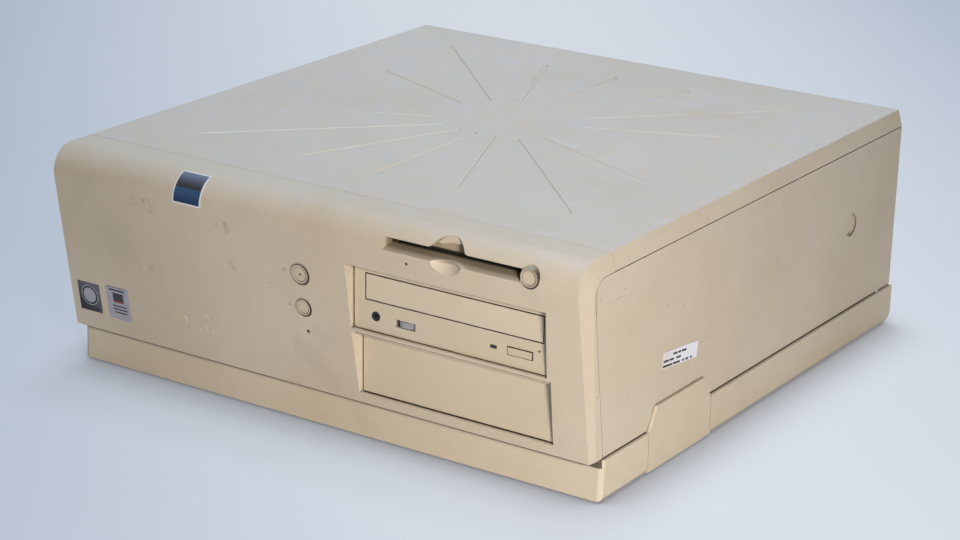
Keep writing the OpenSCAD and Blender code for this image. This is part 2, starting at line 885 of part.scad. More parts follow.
// The steel shell inside the cover, with the hinge lugs at its back
module cover_shell() {
    y0 = seam_y + 1.5;
    y1 = rear_y - 2.5;
    low = cover_z + 3;
    clear = 4;
    color(steel) difference() {
        union() {
            slab(-shell_half, shell_half, y0, y1, shell_z0, shell_z1);
            for (x = [-shell_half, shell_half - sheet_t])
                slab(x, x + sheet_t, y0, rear_y - 12, low, shell_z1);
            for (side = [-1, 1])
                along_x(side * lug_x - lug_t / 2, side * lug_x + lug_t / 2) {
                    translate([pivot_y, pivot_z]) circle(lug_r);
                    polygon([
                        [pivot_y - lug_r, pivot_z], [pivot_y - lug_r - 8, shell_z0 + eps],
                        [pivot_y + lug_r, shell_z0 + eps], [pivot_y + lug_r, pivot_z]
                    ]);
                }
        }
        for (side = [-1, 1])
            rod_x(side * lug_x - 5, side * lug_x + 5, pivot_y, pivot_z, hinge_pin_d / 2 + hinge_gap);
        slab(-case_w, case_w, release_y0 - clear, release_y1 + clear, 0, release_top + clear + 1);
        rod_x(-case_w, case_w, plug_y, plug_z, plug_r - 3);
    }
}

module power_button() {
    color(beige) difference() {
        push_button(power_z, power_r);
        on_face(button_x, power_z) face_rod(light_r, -2, 2);
    }
}

module reset_button() {
    color(beige) push_button(reset_z, reset_r);
}

// A round button with a collar behind its guide tube and a stem to its switch
module push_button(z, r) {
    stem_r = 2;
    dish = 0.4;
    on_face(button_x, z) difference() {
        union() {
            face_rod(r, -1, tube_back + 1);
            face_rod(r + button_gap + collar_w, tube_back + seat, tube_back + seat + collar_w);
            face_rod(stem_r, tube_back + 1, stem_length(z));
        }
        face_rod(r - collar_w, -2, dish - 1);
    }
}

// The eject button, with an arm down to the key of the drive behind it
module floppy_eject_button() {
    arm_w = 6;
    y0 = guide_back_y + 0.9;
    y1 = key_y0 - seat;
    x1 = eject_x + arm_w / 2;
    color(beige) {
        rod_y(eject_x, round_face_y(eject_z) - 1, y1, eject_z, eject_r);
        slab(x1 - arm_w, x1, y0, y1, key_z0, eject_z);
        slab(key_x0, x1, y0, y1, key_z0, key_z1);
    }
}

// The light in the middle of the power button, pressed in with it
module power_light() {
    color(light_green) on_face(button_x, power_z) face_rod(light_r - lens_gap, -0.5, 2);
}

// The disk light and the light of the diskette drive
module light_lenses() {
    color(light_green) {
        on_face(light_x, light_z) face_rod(disk_light_r - lens_gap, seat, skin_t + 1);
        on_face(small_light_x, small_light_z) face_rod(small_light_r - lens_gap, seat, skin_t + 1);
    }
}

// ---- Base and chassis ----

module base_plinth() {
    front_top = foot_y + base_setback;
    inside = base_half - base_t;
    round_back = rear_y - base_round;
    color(beige) difference() {
        along_x(-base_half, base_half) {
            polygon([
                [front_top, base_h], [front_top - base_flare, foot_h], [round_back, foot_h],
                [round_back, foot_h + base_round], [rear_y, foot_h + base_round], [rear_y, base_h]
            ]);
            sector(round_back, foot_h + base_round, base_round, 360, 270);
        }
        for (side = [0, 1])
            mirror([side, 0, 0]) {
                translate([base_half, front_top, base_h]) rotate([-atan(base_flare / (base_h - foot_h)), 0, 0])
                    edge_cut(-base_h, 2);
                translate([base_half, rear_y, foot_h]) rotate([90, 0, 0]) edge_cut(-1, case_d);
                // place of the release button, deep enough for its travel
                along_x(release_x0, base_half + 1) release_outline(release_gap);
            }
        slab(-inside, inside, front_top + base_t, rear_y - base_t, foot_h + base_t, base_h + 1);
        // the back is low behind the rear panel, clear of plugs
        slab(-chassis_half, chassis_half, panel_y1 + 1, rear_y + 1, board_z - 4, base_h + 1);
        feet_at() translate([0, 0, foot_h - 1]) cylinder(r = foot_r, h = 2);
    }
}

// What is cut off to round an edge of the base, turned so that the edge lies along Z
module edge_cut(z0, z1) {
    r = base_edge;
    difference() {
        slab(-r, 1, -1, r, z0, z1);
        translate([-r, r, z0 - 1]) cylinder(r = r, h = z1 - z0 + 2);
    }
}

// Places its children at the four feet
module feet_at() {
    for (x = [-foot_x, foot_x], y = [-foot_in_y, foot_in_y])
        translate([x, y, 0]) children();
}

module rubber_feet() {
    lower = 0.6;
    color(black) feet_at() {
        cylinder(r = foot_r - 1, h = lower);
        translate([0, 0, lower]) cylinder(r = foot_r - 0.1, h = foot_h + 1 - lower);
    }
}

module chassis_tray() {
    side_h = base_h + 8;
    y1 = front_wall_y + sheet_t;
    color(steel) difference() {
        union() {
            slab(-chassis_half, chassis_half, front_wall_y, panel_y0, tray_floor_z, floor_z);
            slab(-chassis_half, cage_x0 - 1, front_wall_y, y1, tray_floor_z, chassis_top_z);
            slab(cage_x1 + 1, chassis_half, front_wall_y, y1, tray_floor_z, chassis_top_z);
            for (x = [-chassis_half, chassis_half - sheet_t])
                slab(x, x + sheet_t, front_wall_y, panel_y0, tray_floor_z, side_h);
        }
        rod_y(fan_x, front_wall_y - 1, y1 + 1, fan_z, fan_size / 2 - fan_wall - 0.5);
        rod_y(speaker_x, front_wall_y - 1, y1 + 1, speaker_z, speaker_r - speaker_rim);
        for (y = release_guide_ys)
            rod_x(-case_w, case_w, y, release_guide_z, release_guide_r + guide_gap);
    }
}

// A release button: a plate in the wall, on two guides that run through the chassis
module release_button() {
    x0 = base_half - release_t;
    along_x(x0, base_half) release_outline(0);
    for (y = release_guide_ys)
        rod_x(chassis_half - guide_reach, x0, y, release_guide_z, release_guide_r);
}

module release_button_left() {
    color(beige) mirror([1, 0, 0]) release_button();
}

module release_button_right() {
    color(beige) release_button();
}

module rear_panel() {
    ear_t = 1.2;
    ear_x = lug_t / 2 + 0.5;
    margin = 3;
    z1 = pivot_z + 2;
    color(steel) difference() {
        union() {
            slab(-chassis_half, chassis_half, panel_y0, panel_y1, tray_floor_z, z1);
            // a pair of ears beside each lug of the cover
            for (side = [-1, 1], x = [-ear_x - ear_t, ear_x])
                along_x(side * lug_x + x, side * lug_x + x + ear_t) {
                    translate([pivot_y, pivot_z]) circle(lug_r);
                    polygon([
                        [pivot_y - lug_r, pivot_z], [pivot_y - lug_r, pivot_z - 4],
                        [panel_y0 + eps, pivot_z - 12], [panel_y0 + eps, z1], [pivot_y, z1]
                    ]);
                }
        }
        for (side = [-1, 1]) {
            slab(side * lug_x - ear_x, side * lug_x + ear_x, panel_y0 - 1, panel_y1 + 1, pivot_z - 7, z1 + 1);
            rod_x(side * lug_x - 5, side * lug_x + 5, pivot_y, pivot_z, hinge_pin_d / 2 + 0.02);
        }
        slab(psu_x0 + margin, psu_x1 - margin, panel_y0 - 1, panel_y1 + 1,
            psu_z0 + margin, psu_z1 - margin);
        slab(port_x0 - 1, port_x1 + 1, panel_y0 - 1, panel_y1 + 1, board_top - 0.5, board_top + port_rows_h + 1);
        for (i = [0 : slot_count - 1])
            slab(slot_cover_x0 + 4, slot_cover_x1 - 4, panel_y0 - 1, panel_y1 + 1,
                slot_z_at(i) - slot_window_h / 2, slot_z_at(i) + slot_window_h / 2);
    }
}

module cover_hinge_pins() {
    half = 3.4;
    color(dark_steel) for (side = [-1, 1])
        rod_x(side * lug_x - half, side * lug_x + half, pivot_y, pivot_z, hinge_pin_d / 2);
}

// Sheet walls and shelves that carry the drives
module drive_cage() {
    top = floppy_z0 + floppy_h;
    rail_x0 = floppy_x0 - seat - sheet_t;
    rail_x1 = floppy_x0 + floppy_w + seat;
    color(steel) {
        for (x = [cage_x0, cage_x1 - sheet_t])
            slab(x, x + sheet_t, cage_y0, cage_y1, floor_z, top);
        for (z = [lower_bay_z - 3, cage_shelf_z, floppy_shelf_z])
            slab(cage_x0, cage_x1, cage_y0, cage_y1, z, z + sheet_t);
        // rails that hold the narrow drive across the wide cage
        for (x = [rail_x0, rail_x1])
            slab(x, x + sheet_t, cage_y0, cage_y0 + floppy_l - 30, floppy_shelf_z, top);
    }
}

// ---- Diskette drive ----

module floppy_case() {
    wall = 1;
    x0 = floppy_x0;
    x1 = floppy_x0 + floppy_w;
    y1 = floppy_y0 + floppy_l;
    z1 = floppy_z0 + floppy_h;
    deck_z1 = slot_z - 2;
    color(dark_steel) difference() {
        slab(x0, x1, floppy_y0, y1, floppy_z0, z1);
        slab(x0 + wall, x1 - wall, floppy_y0 - 1, y1 - wall, deck_z1, z1 - wall);
        slab(x0 + wall, x1 - wall, floppy_y0 + 22, y1 + 1, floppy_z0 + wall, deck_z1 - 1.2);
        slab(key_x0 - 1, key_x1 + 1, floppy_y0 - 1, floppy_y0 + 20, key_z0 - 1, slot_z);
    }
}

module floppy_fascia() {
    gap = 0.4;
    ear = 2;
    x0 = floppy_x0;
    x1 = floppy_x0 + floppy_w;
    y1 = fascia_y + fascia_t + 1;
    flap_x0 = slot_x - flap_w / 2;
    flap_x1 = slot_x + flap_w / 2;
    color(beige_dark) difference() {
        union() {
            slab(x0, x1, fascia_y, fascia_y + fascia_t, floppy_z0, floppy_z0 + floppy_h);
            for (x = [flap_x0 - gap - ear, flap_x1 + gap])
                slab(x, x + ear, flap_y - 0.6, fascia_y + eps, flap_z1 - 2.2, flap_z1 + 0.6);
        }
        slab(slot_x - slot_w / 2, slot_x + slot_w / 2, fascia_y - 1, y1, slot_z, slot_z + slot_h);
        slab(flap_x0 - gap, flap_x1 + gap, fascia_y - 1, y1, slot_z, flap_z1 + 0.6);
        slab(key_x0 - seat, key_x1 + seat, fascia_y - 1, y1, key_z0 - seat, key_z1 + seat);
        rod_x(flap_x0 - ear - 1, flap_x1 + ear + 1, flap_axis_y, flap_axis_z, flap_pin_r + 0.05);
    }
}

module floppy_dust_flap() {
    pin_l = 1.8;
    color(beige_dark) {
        slab(slot_x - flap_w / 2, slot_x + flap_w / 2, flap_y, flap_y + flap_t, flap_z0, flap_axis_z);
        rod_x(slot_x - flap_w / 2 - pin_l, slot_x + flap_w / 2 + pin_l, flap_axis_y, flap_axis_z, flap_pin_r);
    }
}

module floppy_eject_key() {
    color(beige_dark) slab(key_x0, key_x1, key_y0, floppy_y0 + 6, key_z0, key_z1);
}

// ---- Disc drive ----

module cd_case() {
    wall = 1;
    deck_t = 1.2;
    y0 = upper_front_y + plate_t + seat;
    x1 = cd_x0 + cd_w;
    z1 = cd_z0 + cd_h;
    deck_z = tray_z0 - seat;
    post_z = cd_z0 + wall - eps;
    color(steel) difference() {
        union() {
            difference() {
                slab(cd_x0, x1, y0, cd_back_y, cd_z0, z1);
                slab(cd_x0 + wall, x1 - wall, y0 - 1, cd_back_y - wall, cd_z0 + wall, z1 - wall);
            }
            slab(cd_x0 + wall / 2, x1 - wall / 2, y0 + 14, cd_back_y - wall / 2, deck_z - deck_t, deck_z);
            translate([disc_x, disc_y, post_z]) cylinder(r = 6, h = spindle_z0 - seat - post_z);
            translate([volume_x, volume_y, post_z]) cylinder(r = spindle_r, h = volume_z + 3.5 - post_z);
        }
        translate([disc_x, disc_y, deck_z - 3]) cylinder(r = 14, h = 5);
        translate([disc_x, disc_y, cd_z0 + 3]) cylinder(r = spindle_r + spindle_gap, h = cd_h);
    }
}

module cd_faceplate() {
    y0 = upper_front_y - 1;
    y1 = upper_front_y + plate_t + 1;
    gap = 0.6;
    fit = 0.2;
    wheel_w = 15.4;
    wheel_h = 5.2;
    pin_hole_r = 0.8;
    door_x0 = bay_x + door_x;
    door_z0 = upper_bay_z + door_z;
    color(beige) difference() {
        slab(bay_x, bay_x1, y0 + 1, y1 - 1, upper_bay_z, upper_bay_z + bay_face_h);
        slab(door_x0 - gap, door_x0 + door_w + gap, y0, y1, door_z0 - gap, door_z0 + door_h + gap);
        rod_y(jack_x, y0, y1, jack_z, jack_body_r + 0.1);
        slab(volume_x - wheel_w / 2, volume_x + wheel_w / 2, y0, y1, volume_z - wheel_h / 2, volume_z + wheel_h / 2);
        cd_light_block(y0, y1, 0.1);
        slab(cd_eject_x - fit, cd_eject_x + cd_eject_w + fit, y0, y1, cd_eject_z - fit,
            cd_eject_z + cd_eject_h + fit);
        rod_y(bay_x + 141.8, y0, y1, upper_bay_z + 15, pin_hole_r);
    }
}

// The tray, with its recess for a disc and its opening over the spindle
module cd_tray() {
    y0 = upper_front_y + plate_t;
    floor_t = 3;
    hub_r = 18;
    slit = 16;
    color(beige_dark) difference() {
        slab(tray_x0, tray_x0 + tray_w, y0, y0 + tray_l, tray_z0, tray_z0 + tray_t);
        translate([disc_x, disc_y, tray_z0 + floor_t]) cylinder(r = disc_d / 2 + 1, h = tray_t);
        translate([disc_x, disc_y, tray_z0 - 1]) cylinder(r = hub_r, h = tray_t - 1);
        slab(disc_x - slit, disc_x + slit, disc_y, disc_y + disc_d / 2 - 2, tray_z0 - 1, tray_z0 + tray_t - 1);
    }
}

module cd_tray_door() {
    x0 = bay_x + door_x;
    z0 = upper_bay_z + door_z;
    color(beige) slab(x0, x0 + door_w, upper_front_y, upper_front_y + plate_t, z0, z0 + door_h);
}

module cd_eject_button() {
    color(beige) slab(cd_eject_x, cd_eject_x + cd_eject_w, upper_front_y - 0.6, upper_front_y + plate_t + 4,
        cd_eject_z, cd_eject_z + cd_eject_h);
}

// A ridged wheel on an upright post, its rim out through the faceplate
module cd_volume_wheel() {
    ridges = 40;
    ridge = 0.7;
    h = 4;
    color(dark_steel) translate([volume_x, volume_y, volume_z]) difference() {
        cylinder(r = volume_r, h = h, center = true);
        cylinder(r = spindle_r + spindle_gap, h = h + 1, center = true);
        for (i = [0 : ridges - 1])
            rotate([0, 0, i * 360 / ridges]) translate([volume_r, 0, 0]) rotate([0, 0, 45])
                cube([ridge, ridge, h + 1], center = true);
    }
}

module cd_headphone_jack() {
    proud = 0.3;
    back = upper_front_y + 15;
    color(black) difference() {
        rod_y(jack_x, upper_front_y - proud, back, jack_z, jack_body_r);
        rod_y(jack_x, upper_front_y - 1, back - 1, jack_z, jack_d / 2 + jack_gap);
    }
}

module cd_light_lens() {
    color([0.3, 0.25, 0.1]) cd_light_block(upper_front_y + 0.2, upper_front_y + plate_t, 0);
}

module cd_light_block(y0, y1, gap) {
    half_w = 2.4 + gap;
    half_h = 1.1 + gap;
    slab(cd_light_x - half_w, cd_light_x + half_w, y0, y1, cd_light_z - half_h, cd_light_z + half_h);
}

module cd_spindle() {
    hub_r = 11;
    hub_h = 3.6;
    shaft_z = cd_z0 + 4;
    color(dark_steel) {
        translate([disc_x, disc_y, spindle_z0]) cylinder(r = hub_r, h = hub_h);
        translate([disc_x, disc_y, shaft_z]) cylinder(r = spindle_r, h = spindle_z0 + 0.5 - shaft_z);
    }
}

// The blank front of the lower bay, with a flange that closes the gap under the bar
module bay_insert() {
    plate = 2.5;
    flange_t = 1.2;
    arm_t = 1.5;
    arm_l = 30;
    arm_in = 10;
    x0 = open_x0 + insert_in + bay_gap;
    x1 = open_x1 - 2 - bay_gap;
    y1 = lower_front_y + plate;
    z1 = lower_bay_z + bay_face_h;
    color(beige) {
        slab(x0, x1, lower_front_y, y1, lower_bay_z, z1);
        slab(x0, x1, upper_front_y, y1, z1, z1 + flange_t);
        for (x = [x0, cage_x1 - sheet_t - seat - arm_t])
            slab(x, x + arm_t, lower_front_y + 1, lower_front_y + arm_l, lower_bay_z + arm_in, z1 - arm_in);
    }
}

// ---- Inside ----

module hard_drive() {
    lid_t = 2;
    lid_margin = 5;
    lid_short = 22;
    spindle_y = 56;
    socket_w = 56;
    socket_h = 8;
    socket_deep = 6;
    x1 = hd_x0 + hd_w;
    y1 = hd_y0 + hd_l;
    z1 = hd_z0 + hd_h;
    color(dark_steel) difference() {
        union() {
            slab(hd_x0, x1, hd_y0, y1, hd_z0, z1 - lid_t / 2);
            slab(hd_x0 + lid_margin, x1 - lid_margin, hd_y0 + lid_margin, y1 - lid_short, z1 - lid_t, z1);
        }
        translate([(hd_x0 + x1) / 2, hd_y0 + spindle_y, z1 - 0.3 * lid_t])
            cylinder(r = hd_w / 2 - lid_margin - 2, h = lid_t);
        slab(ribbon_x - socket_w / 2, ribbon_x + socket_w / 2, y1 - socket_deep, y1 + 1,
            ribbon_z - socket_h / 2, ribbon_z + socket_h / 2);
    }
}

// A tray on two legs under the hard drive
module hard_drive_bracket() {
    side = 4;
    z1 = hd_z0 - seat;
    y0 = hd_y0 + 5;
    y1 = hd_y0 + hd_l - 8;
    x0 = hd_x0 - side;
    x1 = hd_x0 + hd_w + side;
    color(steel) {
        slab(x0, x1, y0, y1, z1 - sheet_t, z1);
        for (x = [x0, x1 - sheet_t])
            slab(x, x + sheet_t, y0, y1, floor_z, hd_z0 + 0.6 * hd_h);
    }
}

// A fan's rotor on the Y axis: a hub, a bore for its pin and slanted blades
module fan_rotor(r, depth) {
    hub_r = r * 0.42;
    blade_t = 1.8;
    blade_turn = 38;
    difference() {
        union() {
            rod_y(0, 0, depth, 0, hub_r);
            intersection() {
                rod_y(0, 0, depth, 0, r);
                for (i = [0 : fan_blades - 1])
                    rotate([0, i * 360 / fan_blades, 0]) translate([hub_r - blade_t, depth / 2, 0])
                        rotate([blade_turn, 0, 0])
                            slab(0, r, -blade_t / 2, blade_t / 2, -depth, depth);
            }
        }
        rod_y(0, -1, depth + 1, 0, fan_pin_r + fan_pin_gap);
    }
}

// The arms that end at the back of a fan, with the pin of its rotor
module fan_spider(reach, pin_l) {
    arm_w = 3.2;
    boss_r = 9;
    for (a = [45, 135])
        rotate([0, a, 0]) slab(-reach, reach, -spider_t, 0, -arm_w / 2, arm_w / 2);
    rod_y(0, -spider_t, 0, 0, boss_r);
    rod_y(0, -pin_l, -1, 0, fan_pin_r);
}

module psu_case() {
    wall = 1.2;
    hole_r = 4.6;
    color(steel) difference() {
        union() {
            difference() {
                slab(psu_x0, psu_x1, psu_y0, psu_y1, psu_z0, psu_z1);
                slab(psu_x0 + wall, psu_x1 - wall, psu_y0 + wall, psu_y1 - wall, psu_z0 + wall, psu_z1 - wall);
                rod_y(psu_fan_x, psu_y1 - 2 * wall, psu_y1 + 1, psu_fan_z, psu_fan_r + 1);
            }
            translate([psu_fan_x, psu_y1, psu_fan_z]) fan_spider(psu_fan_r + 3, psu_fan_depth + spider_t + 3);
        }
        slab(inlet_x - inlet_w / 2, inlet_x + inlet_w / 2, psu_y1 - 2 * wall, psu_y1 + 1,
            inlet_z - inlet_h / 2, inlet_z + inlet_h / 2);
        slab(inlet_x - selector_w / 2 - seat, inlet_x + selector_w / 2 + seat, psu_y1 - 2 * wall, psu_y1 + 1,
            selector_z - selector_h / 2 - seat, selector_z + selector_h / 2 + seat);
        rod_y(harness_x, psu_y0 - 1, psu_y0 + 2 * wall, harness_z, hole_r);
    }
}

module psu_fan_rotor() {
    color(black) translate([psu_fan_x, psu_y1 - spider_t - 1 - psu_fan_depth, psu_fan_z])
        fan_rotor(psu_fan_r - 1, psu_fan_depth);
}

// Guard over the fan: flat rings on two crossed bars
module psu_fan_guard() {
    y0 = psu_y1 + seat;
    wire = 1.5;
    pitch = 8;
    sunk = 0.2;
    color(silver) {
        for (r = [pitch : pitch : psu_fan_r])
            difference() {
                rod_y(psu_fan_x, y0 + wire - sunk, y0 + 2 * wire - sunk, psu_fan_z, r + wire / 2);
                rod_y(psu_fan_x, y0, y0 + 2 * wire, psu_fan_z, r - wire / 2);
            }
        for (a = [0, 90])
            translate([psu_fan_x, y0, psu_fan_z]) rotate([0, a, 0])
                slab(-psu_fan_r - 3, psu_fan_r + 3, 0, wire, -wire / 2, wire / 2);
    }
}

// The mains inlet: a flanged block with a hollow round three contacts
module ac_inlet() {
    fit = 0.2;
    flange = 2;
    deep = 16;
    half_w = inlet_w / 2;
    half_h = inlet_h / 2;
    mouth_w = 12;
    mouth_h = 8.2;
    pins = [[-7, -2], [0, 2.5], [7, -2]];
    pin_l = deep - 4;
    color(black) difference() {
        union() {
            slab(inlet_x - half_w + fit, inlet_x + half_w - fit, psu_y1 - deep - flange, psu_y1 + eps,
                inlet_z - half_h + fit, inlet_z + half_h - fit);
            slab(inlet_x - half_w - flange, inlet_x + half_w + flange, psu_y1, psu_y1 + flange,
                inlet_z - half_h - flange, inlet_z + half_h + flange);
        }
        difference() {
            slab(inlet_x - mouth_w, inlet_x + mouth_w, psu_y1 - deep, psu_y1 + flange + 1,
                inlet_z - mouth_h, inlet_z + mouth_h);
            for (p = pins)
                translate([inlet_x + p[0], psu_y1 - deep - 1, inlet_z + p[1]])
                    slab(-1, 1, 0, pin_l + 1, -2, 2);
        }
    }
}

// A slide behind a window, with a knob that reaches out through it
module voltage_selector() {
    x0 = inlet_x - selector_w / 2;
    x1 = inlet_x + selector_w / 2 - selector_travel;
    knob_x = x0 + 3.6;
    color([0.7, 0.12, 0.1]) {
        slab(x0, x1, psu_y1 - 4, psu_y1 - 1.4, selector_z - selector_h / 2, selector_z + selector_h / 2);
        slab(knob_x, knob_x + 3, psu_y1 - 1.5, psu_y1 + 0.3, selector_z - selector_h / 2 + 0.5,
            selector_z + selector_h / 2 - 0.5);
    }
}

module board_standoffs() {
    edge = 8;
    color(gold) for (x = [board_x0 + edge, (board_x0 + board_notch_x) / 2, board_notch_x - edge])
        for (y = [board_y0 + edge, (board_y0 + board_y1) / 2, board_y1 - 18])
            translate([x, y, floor_z]) cylinder(r = 3, h = board_z - floor_z);
}

// A chip or a plug on the main board, from its left front corner
module board_block(x, y, size) {
    translate([x, y, board_top]) cube(size);
}

module main_board() {
    chip_t = 2.2;
    plug_h = 9;
    ribbon_plug = [ribbon_w + 8, plug_h, plug_h];
    color(board_green) difference() {
        slab(board_x0, board_x1, board_y0, board_y1, board_z, board_top);
        // corner that makes room for the drive cage
        slab(board_notch_x, board_x1 + 1, board_y0 - 1, board_notch_y, board_z - 1, board_top + 1);
    }
    color(black) {
        board_block(board_x0 + 94, board_y1 - 112, [35, 35, chip_t]);
        board_block(board_x0 + 18, board_y1 - 112, [28, 28, chip_t]);
        board_block(board_x0 + 70, board_y1 - 148, [16, 24, chip_t]);
        board_block(board_x1 - 40, board_y1 - 58, [28, 28, chip_t]);
        board_block(riser_x + 12, board_y1 - 80, [54, plug_h, plug_h]);
        board_block(ribbon_x - ribbon_plug[0] / 2, ribbon_y - plug_h / 2, ribbon_plug);
        memory_sockets();
    }
}

// The connectors of the main board, side by side along its rear edge
module rear_ports() {
    h = port_rows_h;
    mouse_x = port_x0 + 8;
    usb_x = port_x0 + 23;
    net_x = port_x0 + 40;
    lip = 0.7;
    color(silver) {
        // keyboard and mouse, one over the other
        difference() {
            slab(mouse_x - 7, mouse_x + 7, port_y0, port_y1, board_top, board_top + h);
            for (z = round_port_zs)
                rod_y(mouse_x, port_y1 - round_port_l, port_y1 + 1, board_top + z, round_port_r);
        }
        // two serial bus sockets
        difference() {
            slab(usb_x - 7, usb_x + 7, port_y0, port_y1, board_top, board_top + 15.5);
            for (z = [board_top + 1.2, board_top + 8.5])
                difference() {
                    slab(usb_x - 7 + lip, usb_x + 7 - lip, port_y1 - 11, port_y1 + 1, z, z + 5.6);
                    slab(usb_x - 5.3, usb_x + 5.3, port_y1 - 12, port_y1 - 1.5, z + 1.9, z + 3.7);
                }
        }
        // network socket
        difference() {
            slab(net_x - 8, net_x + 8, port_y0, port_y1, board_top, board_top + 14);
            slab(net_x - net_w / 2, net_x + net_w / 2, port_y1 - 11, port_y1 + 1, board_top + net_z,
                board_top + net_z + net_h);
        }
        // long and short trapezoid connectors in one housing
        slab(port_x0 + 55, port_x1 - 2, port_y0, port_y0 + 8, board_top, board_top + h);
        port_shell(port_x1 - 37, 20, 39, 53);
        port_shell(port_x1 - 54, 6.5, 17, 31);
        port_shell(port_x1 - 17, 6.5, 17, 31);
    }
}

// A trapezoid connector with a raised shell, and a nut on each side
module port_shell(x, z, shell_w, plate_w) {
    zc = board_top + z;
    plate_h = 12;
    shell_h = 8.4;
    slant = 1.6;
    rim = 0.6;
    nut_r = 2.4;
    half = shell_w / 2;
    difference() {
        union() {
            slab(x - plate_w / 2, x + plate_w / 2, port_y0, panel_y1 - 0.5, zc - plate_h / 2, zc + plate_h / 2);
            along_y(panel_y1 - 1, port_y1 + 2.5) trapezoid(x, zc, half, shell_h / 2, slant);
            for (s = [-1, 1])
                rod_y(x + s * (plate_w / 2 - nut_r - 1), panel_y1 - 1, port_y1 + 3, zc, nut_r);
        }
        along_y(port_y1 - 3, port_y1 + 4) trapezoid(x, zc, half - rim, shell_h / 2 - rim, slant);
    }
}

module trapezoid(x, z, half_w, half_h, slant) {
    polygon([
        [x - half_w, z + half_h], [x + half_w, z + half_h],
        [x + half_w - slant, z - half_h], [x - half_w + slant, z - half_h]
    ]);
}

// The upright board that carries the expansion sockets
module riser_board() {
    socket_w = 11;
    socket_h = 8.4;
    slit_h = 2.2;
    y0 = riser_y0 + 22;
    y1 = y0 + card_edge_l + 6;
    color(board_green) slab(riser_x, riser_x + board_t, riser_y0, riser_y1, board_top, riser_z1);
    color(black) for (i = [0 : slot_count - 1])
        difference() {
            slab(riser_x - socket_w, riser_x, y0, y1, slot_z_at(i) - socket_h / 2, slot_z_at(i) + socket_h / 2);
            slab(riser_x - socket_w - 1, riser_x - 2, y0 + 1, y1 - 1, slot_z_at(i) - slit_h / 2,
                slot_z_at(i) + slit_h / 2);
        }
}

module riser_bracket() {
    x0 = riser_x + board_t;
    y0 = riser_y0 - 8;
    z1 = riser_bracket_z1;
    color(steel) difference() {
        union() {
            slab(x0, x0 + sheet_t, y0, panel_y0, board_top + 1, z1);
            slab(slot_cover_x0, x0 + sheet_t, y0, y0 + 14, z1 - sheet_t, z1);
            slab(x0, x0 + 12, panel_y0 - sheet_t, panel_y0, board_top + 40, z1);
        }
        slab(x0 - 1, x0 + sheet_t + 1, riser_y0 + 20, riser_y1 - 20, board_top + 30, riser_z1 - 20);
    }
}

// The plates that close the unused slots
module slot_covers() {
    color(steel) for (i = [0 : slot_count - 1])
        if (i != card_row) slot_plate(i);
}

module slot_plate(i) {
    slab(slot_cover_x0, slot_cover_x1, panel_y0 - sheet_t, panel_y0, slot_z_at(i) - slot_plate_h / 2,
        slot_z_at(i) + slot_plate_h / 2);
}

module expansion_card() {
    z = slot_z_at(card_row);
    z0 = z - board_t / 2;
    z1 = z + board_t / 2;
    y1 = panel_y0 - sheet_t;
    edge_x = riser_x - 12;
    chip_t = 2.4;
    color(board_green) slab(card_x0, edge_x, riser_y0 + 10, y1, z0, z1);
    color(gold) slab(edge_x, riser_x - 3, riser_y0 + 25, riser_y0 + 25 + card_edge_l, z0, z1);
    color(steel) slot_plate(card_row);
    color(black) {
        slab(card_x0 + 41, card_x0 + 67, riser_y0 + 50, riser_y0 + 76, z1, z1 + chip_t);
        slab(card_x0 + 9, card_x0 + 25, riser_y0 + 40, riser_y0 + 62, z1, z1 + chip_t);
        slab(card_x0 + 53, card_x0 + 77, y1 - 14, y1, z1, z1 + 6);
    }
}

// The sockets of the memory modules, soldered to the main board
module memory_sockets() {
    wall = 2.4;
    h = 9;
    for (i = [0 : memory_count - 1])
        translate([memory_x + i * memory_pitch, memory_y, board_top])
            difference() {
                slab(-memory_t / 2 - memory_gap - wall, memory_t / 2 + memory_gap + wall, -5, memory_l + 5, 0, h);
                slab(-memory_t / 2 - memory_gap, memory_t / 2 + memory_gap, -memory_gap, memory_l + memory_gap,
                    memory_seat_z, h + 1);
            }
}

module memory_modules() {
    module_h = 27.7;
    chip = [1.05, 9, 16];
    chips = 8;
    pitch = (memory_l - 12) / chips;
    for (i = [0 : memory_count - 1])
        translate([memory_x + i * memory_pitch, memory_y, board_top + memory_seat_z + seat]) {
            color(board_green) slab(-memory_t / 2, memory_t / 2, 0, memory_l, 0, module_h);
            color(black) for (k = [0 : chips - 1])
                translate([memory_t / 2, 8 + k * pitch, 9]) cube(chip);
        }
}

// A cartridge that stands upright in its slot
module processor_cartridge() {
    slot_t = 8;
    slot_h = 10;
    side = 2;
    color(black) {
        slab(cpu_x0, cpu_x0 + cpu_w, cpu_y, cpu_y + slot_t, board_top, board_top + slot_h);
        slab(cpu_x0 - side, cpu_x0 + cpu_w + side, cpu_y - side, cpu_back_y, board_top + slot_h, cpu_z1);
    }
}

module heat_sink() {
    margin = 6;
    plate = 4;
    fin_t = 1.6;
    fin_l = 22;
    z0 = board_top + 14;
    z1 = cpu_z1 - 2;
    x0 = cpu_x0 + margin;
    x1 = cpu_x0 + cpu_w - margin;
    color(silver) {
        slab(x0, x1, cpu_back_y, cpu_back_y + plate, z0, z1);
        for (i = [0 : fin_count - 1])
            translate([x0 + 2 + i * (x1 - x0 - 4 - fin_t) / (fin_count - 1), cpu_back_y + plate - eps, z0])
                cube([fin_t, fin_l, z1 - z0]);
    }
}

module clock_battery() {
    color(silver) translate([board_x1 - 28, board_y1 - 15, board_top]) difference() {
        cylinder(r = 10, h = 3.2);
        translate([0, 0, 2.9]) cylinder(r = 8.6, h = 1);
    }
}

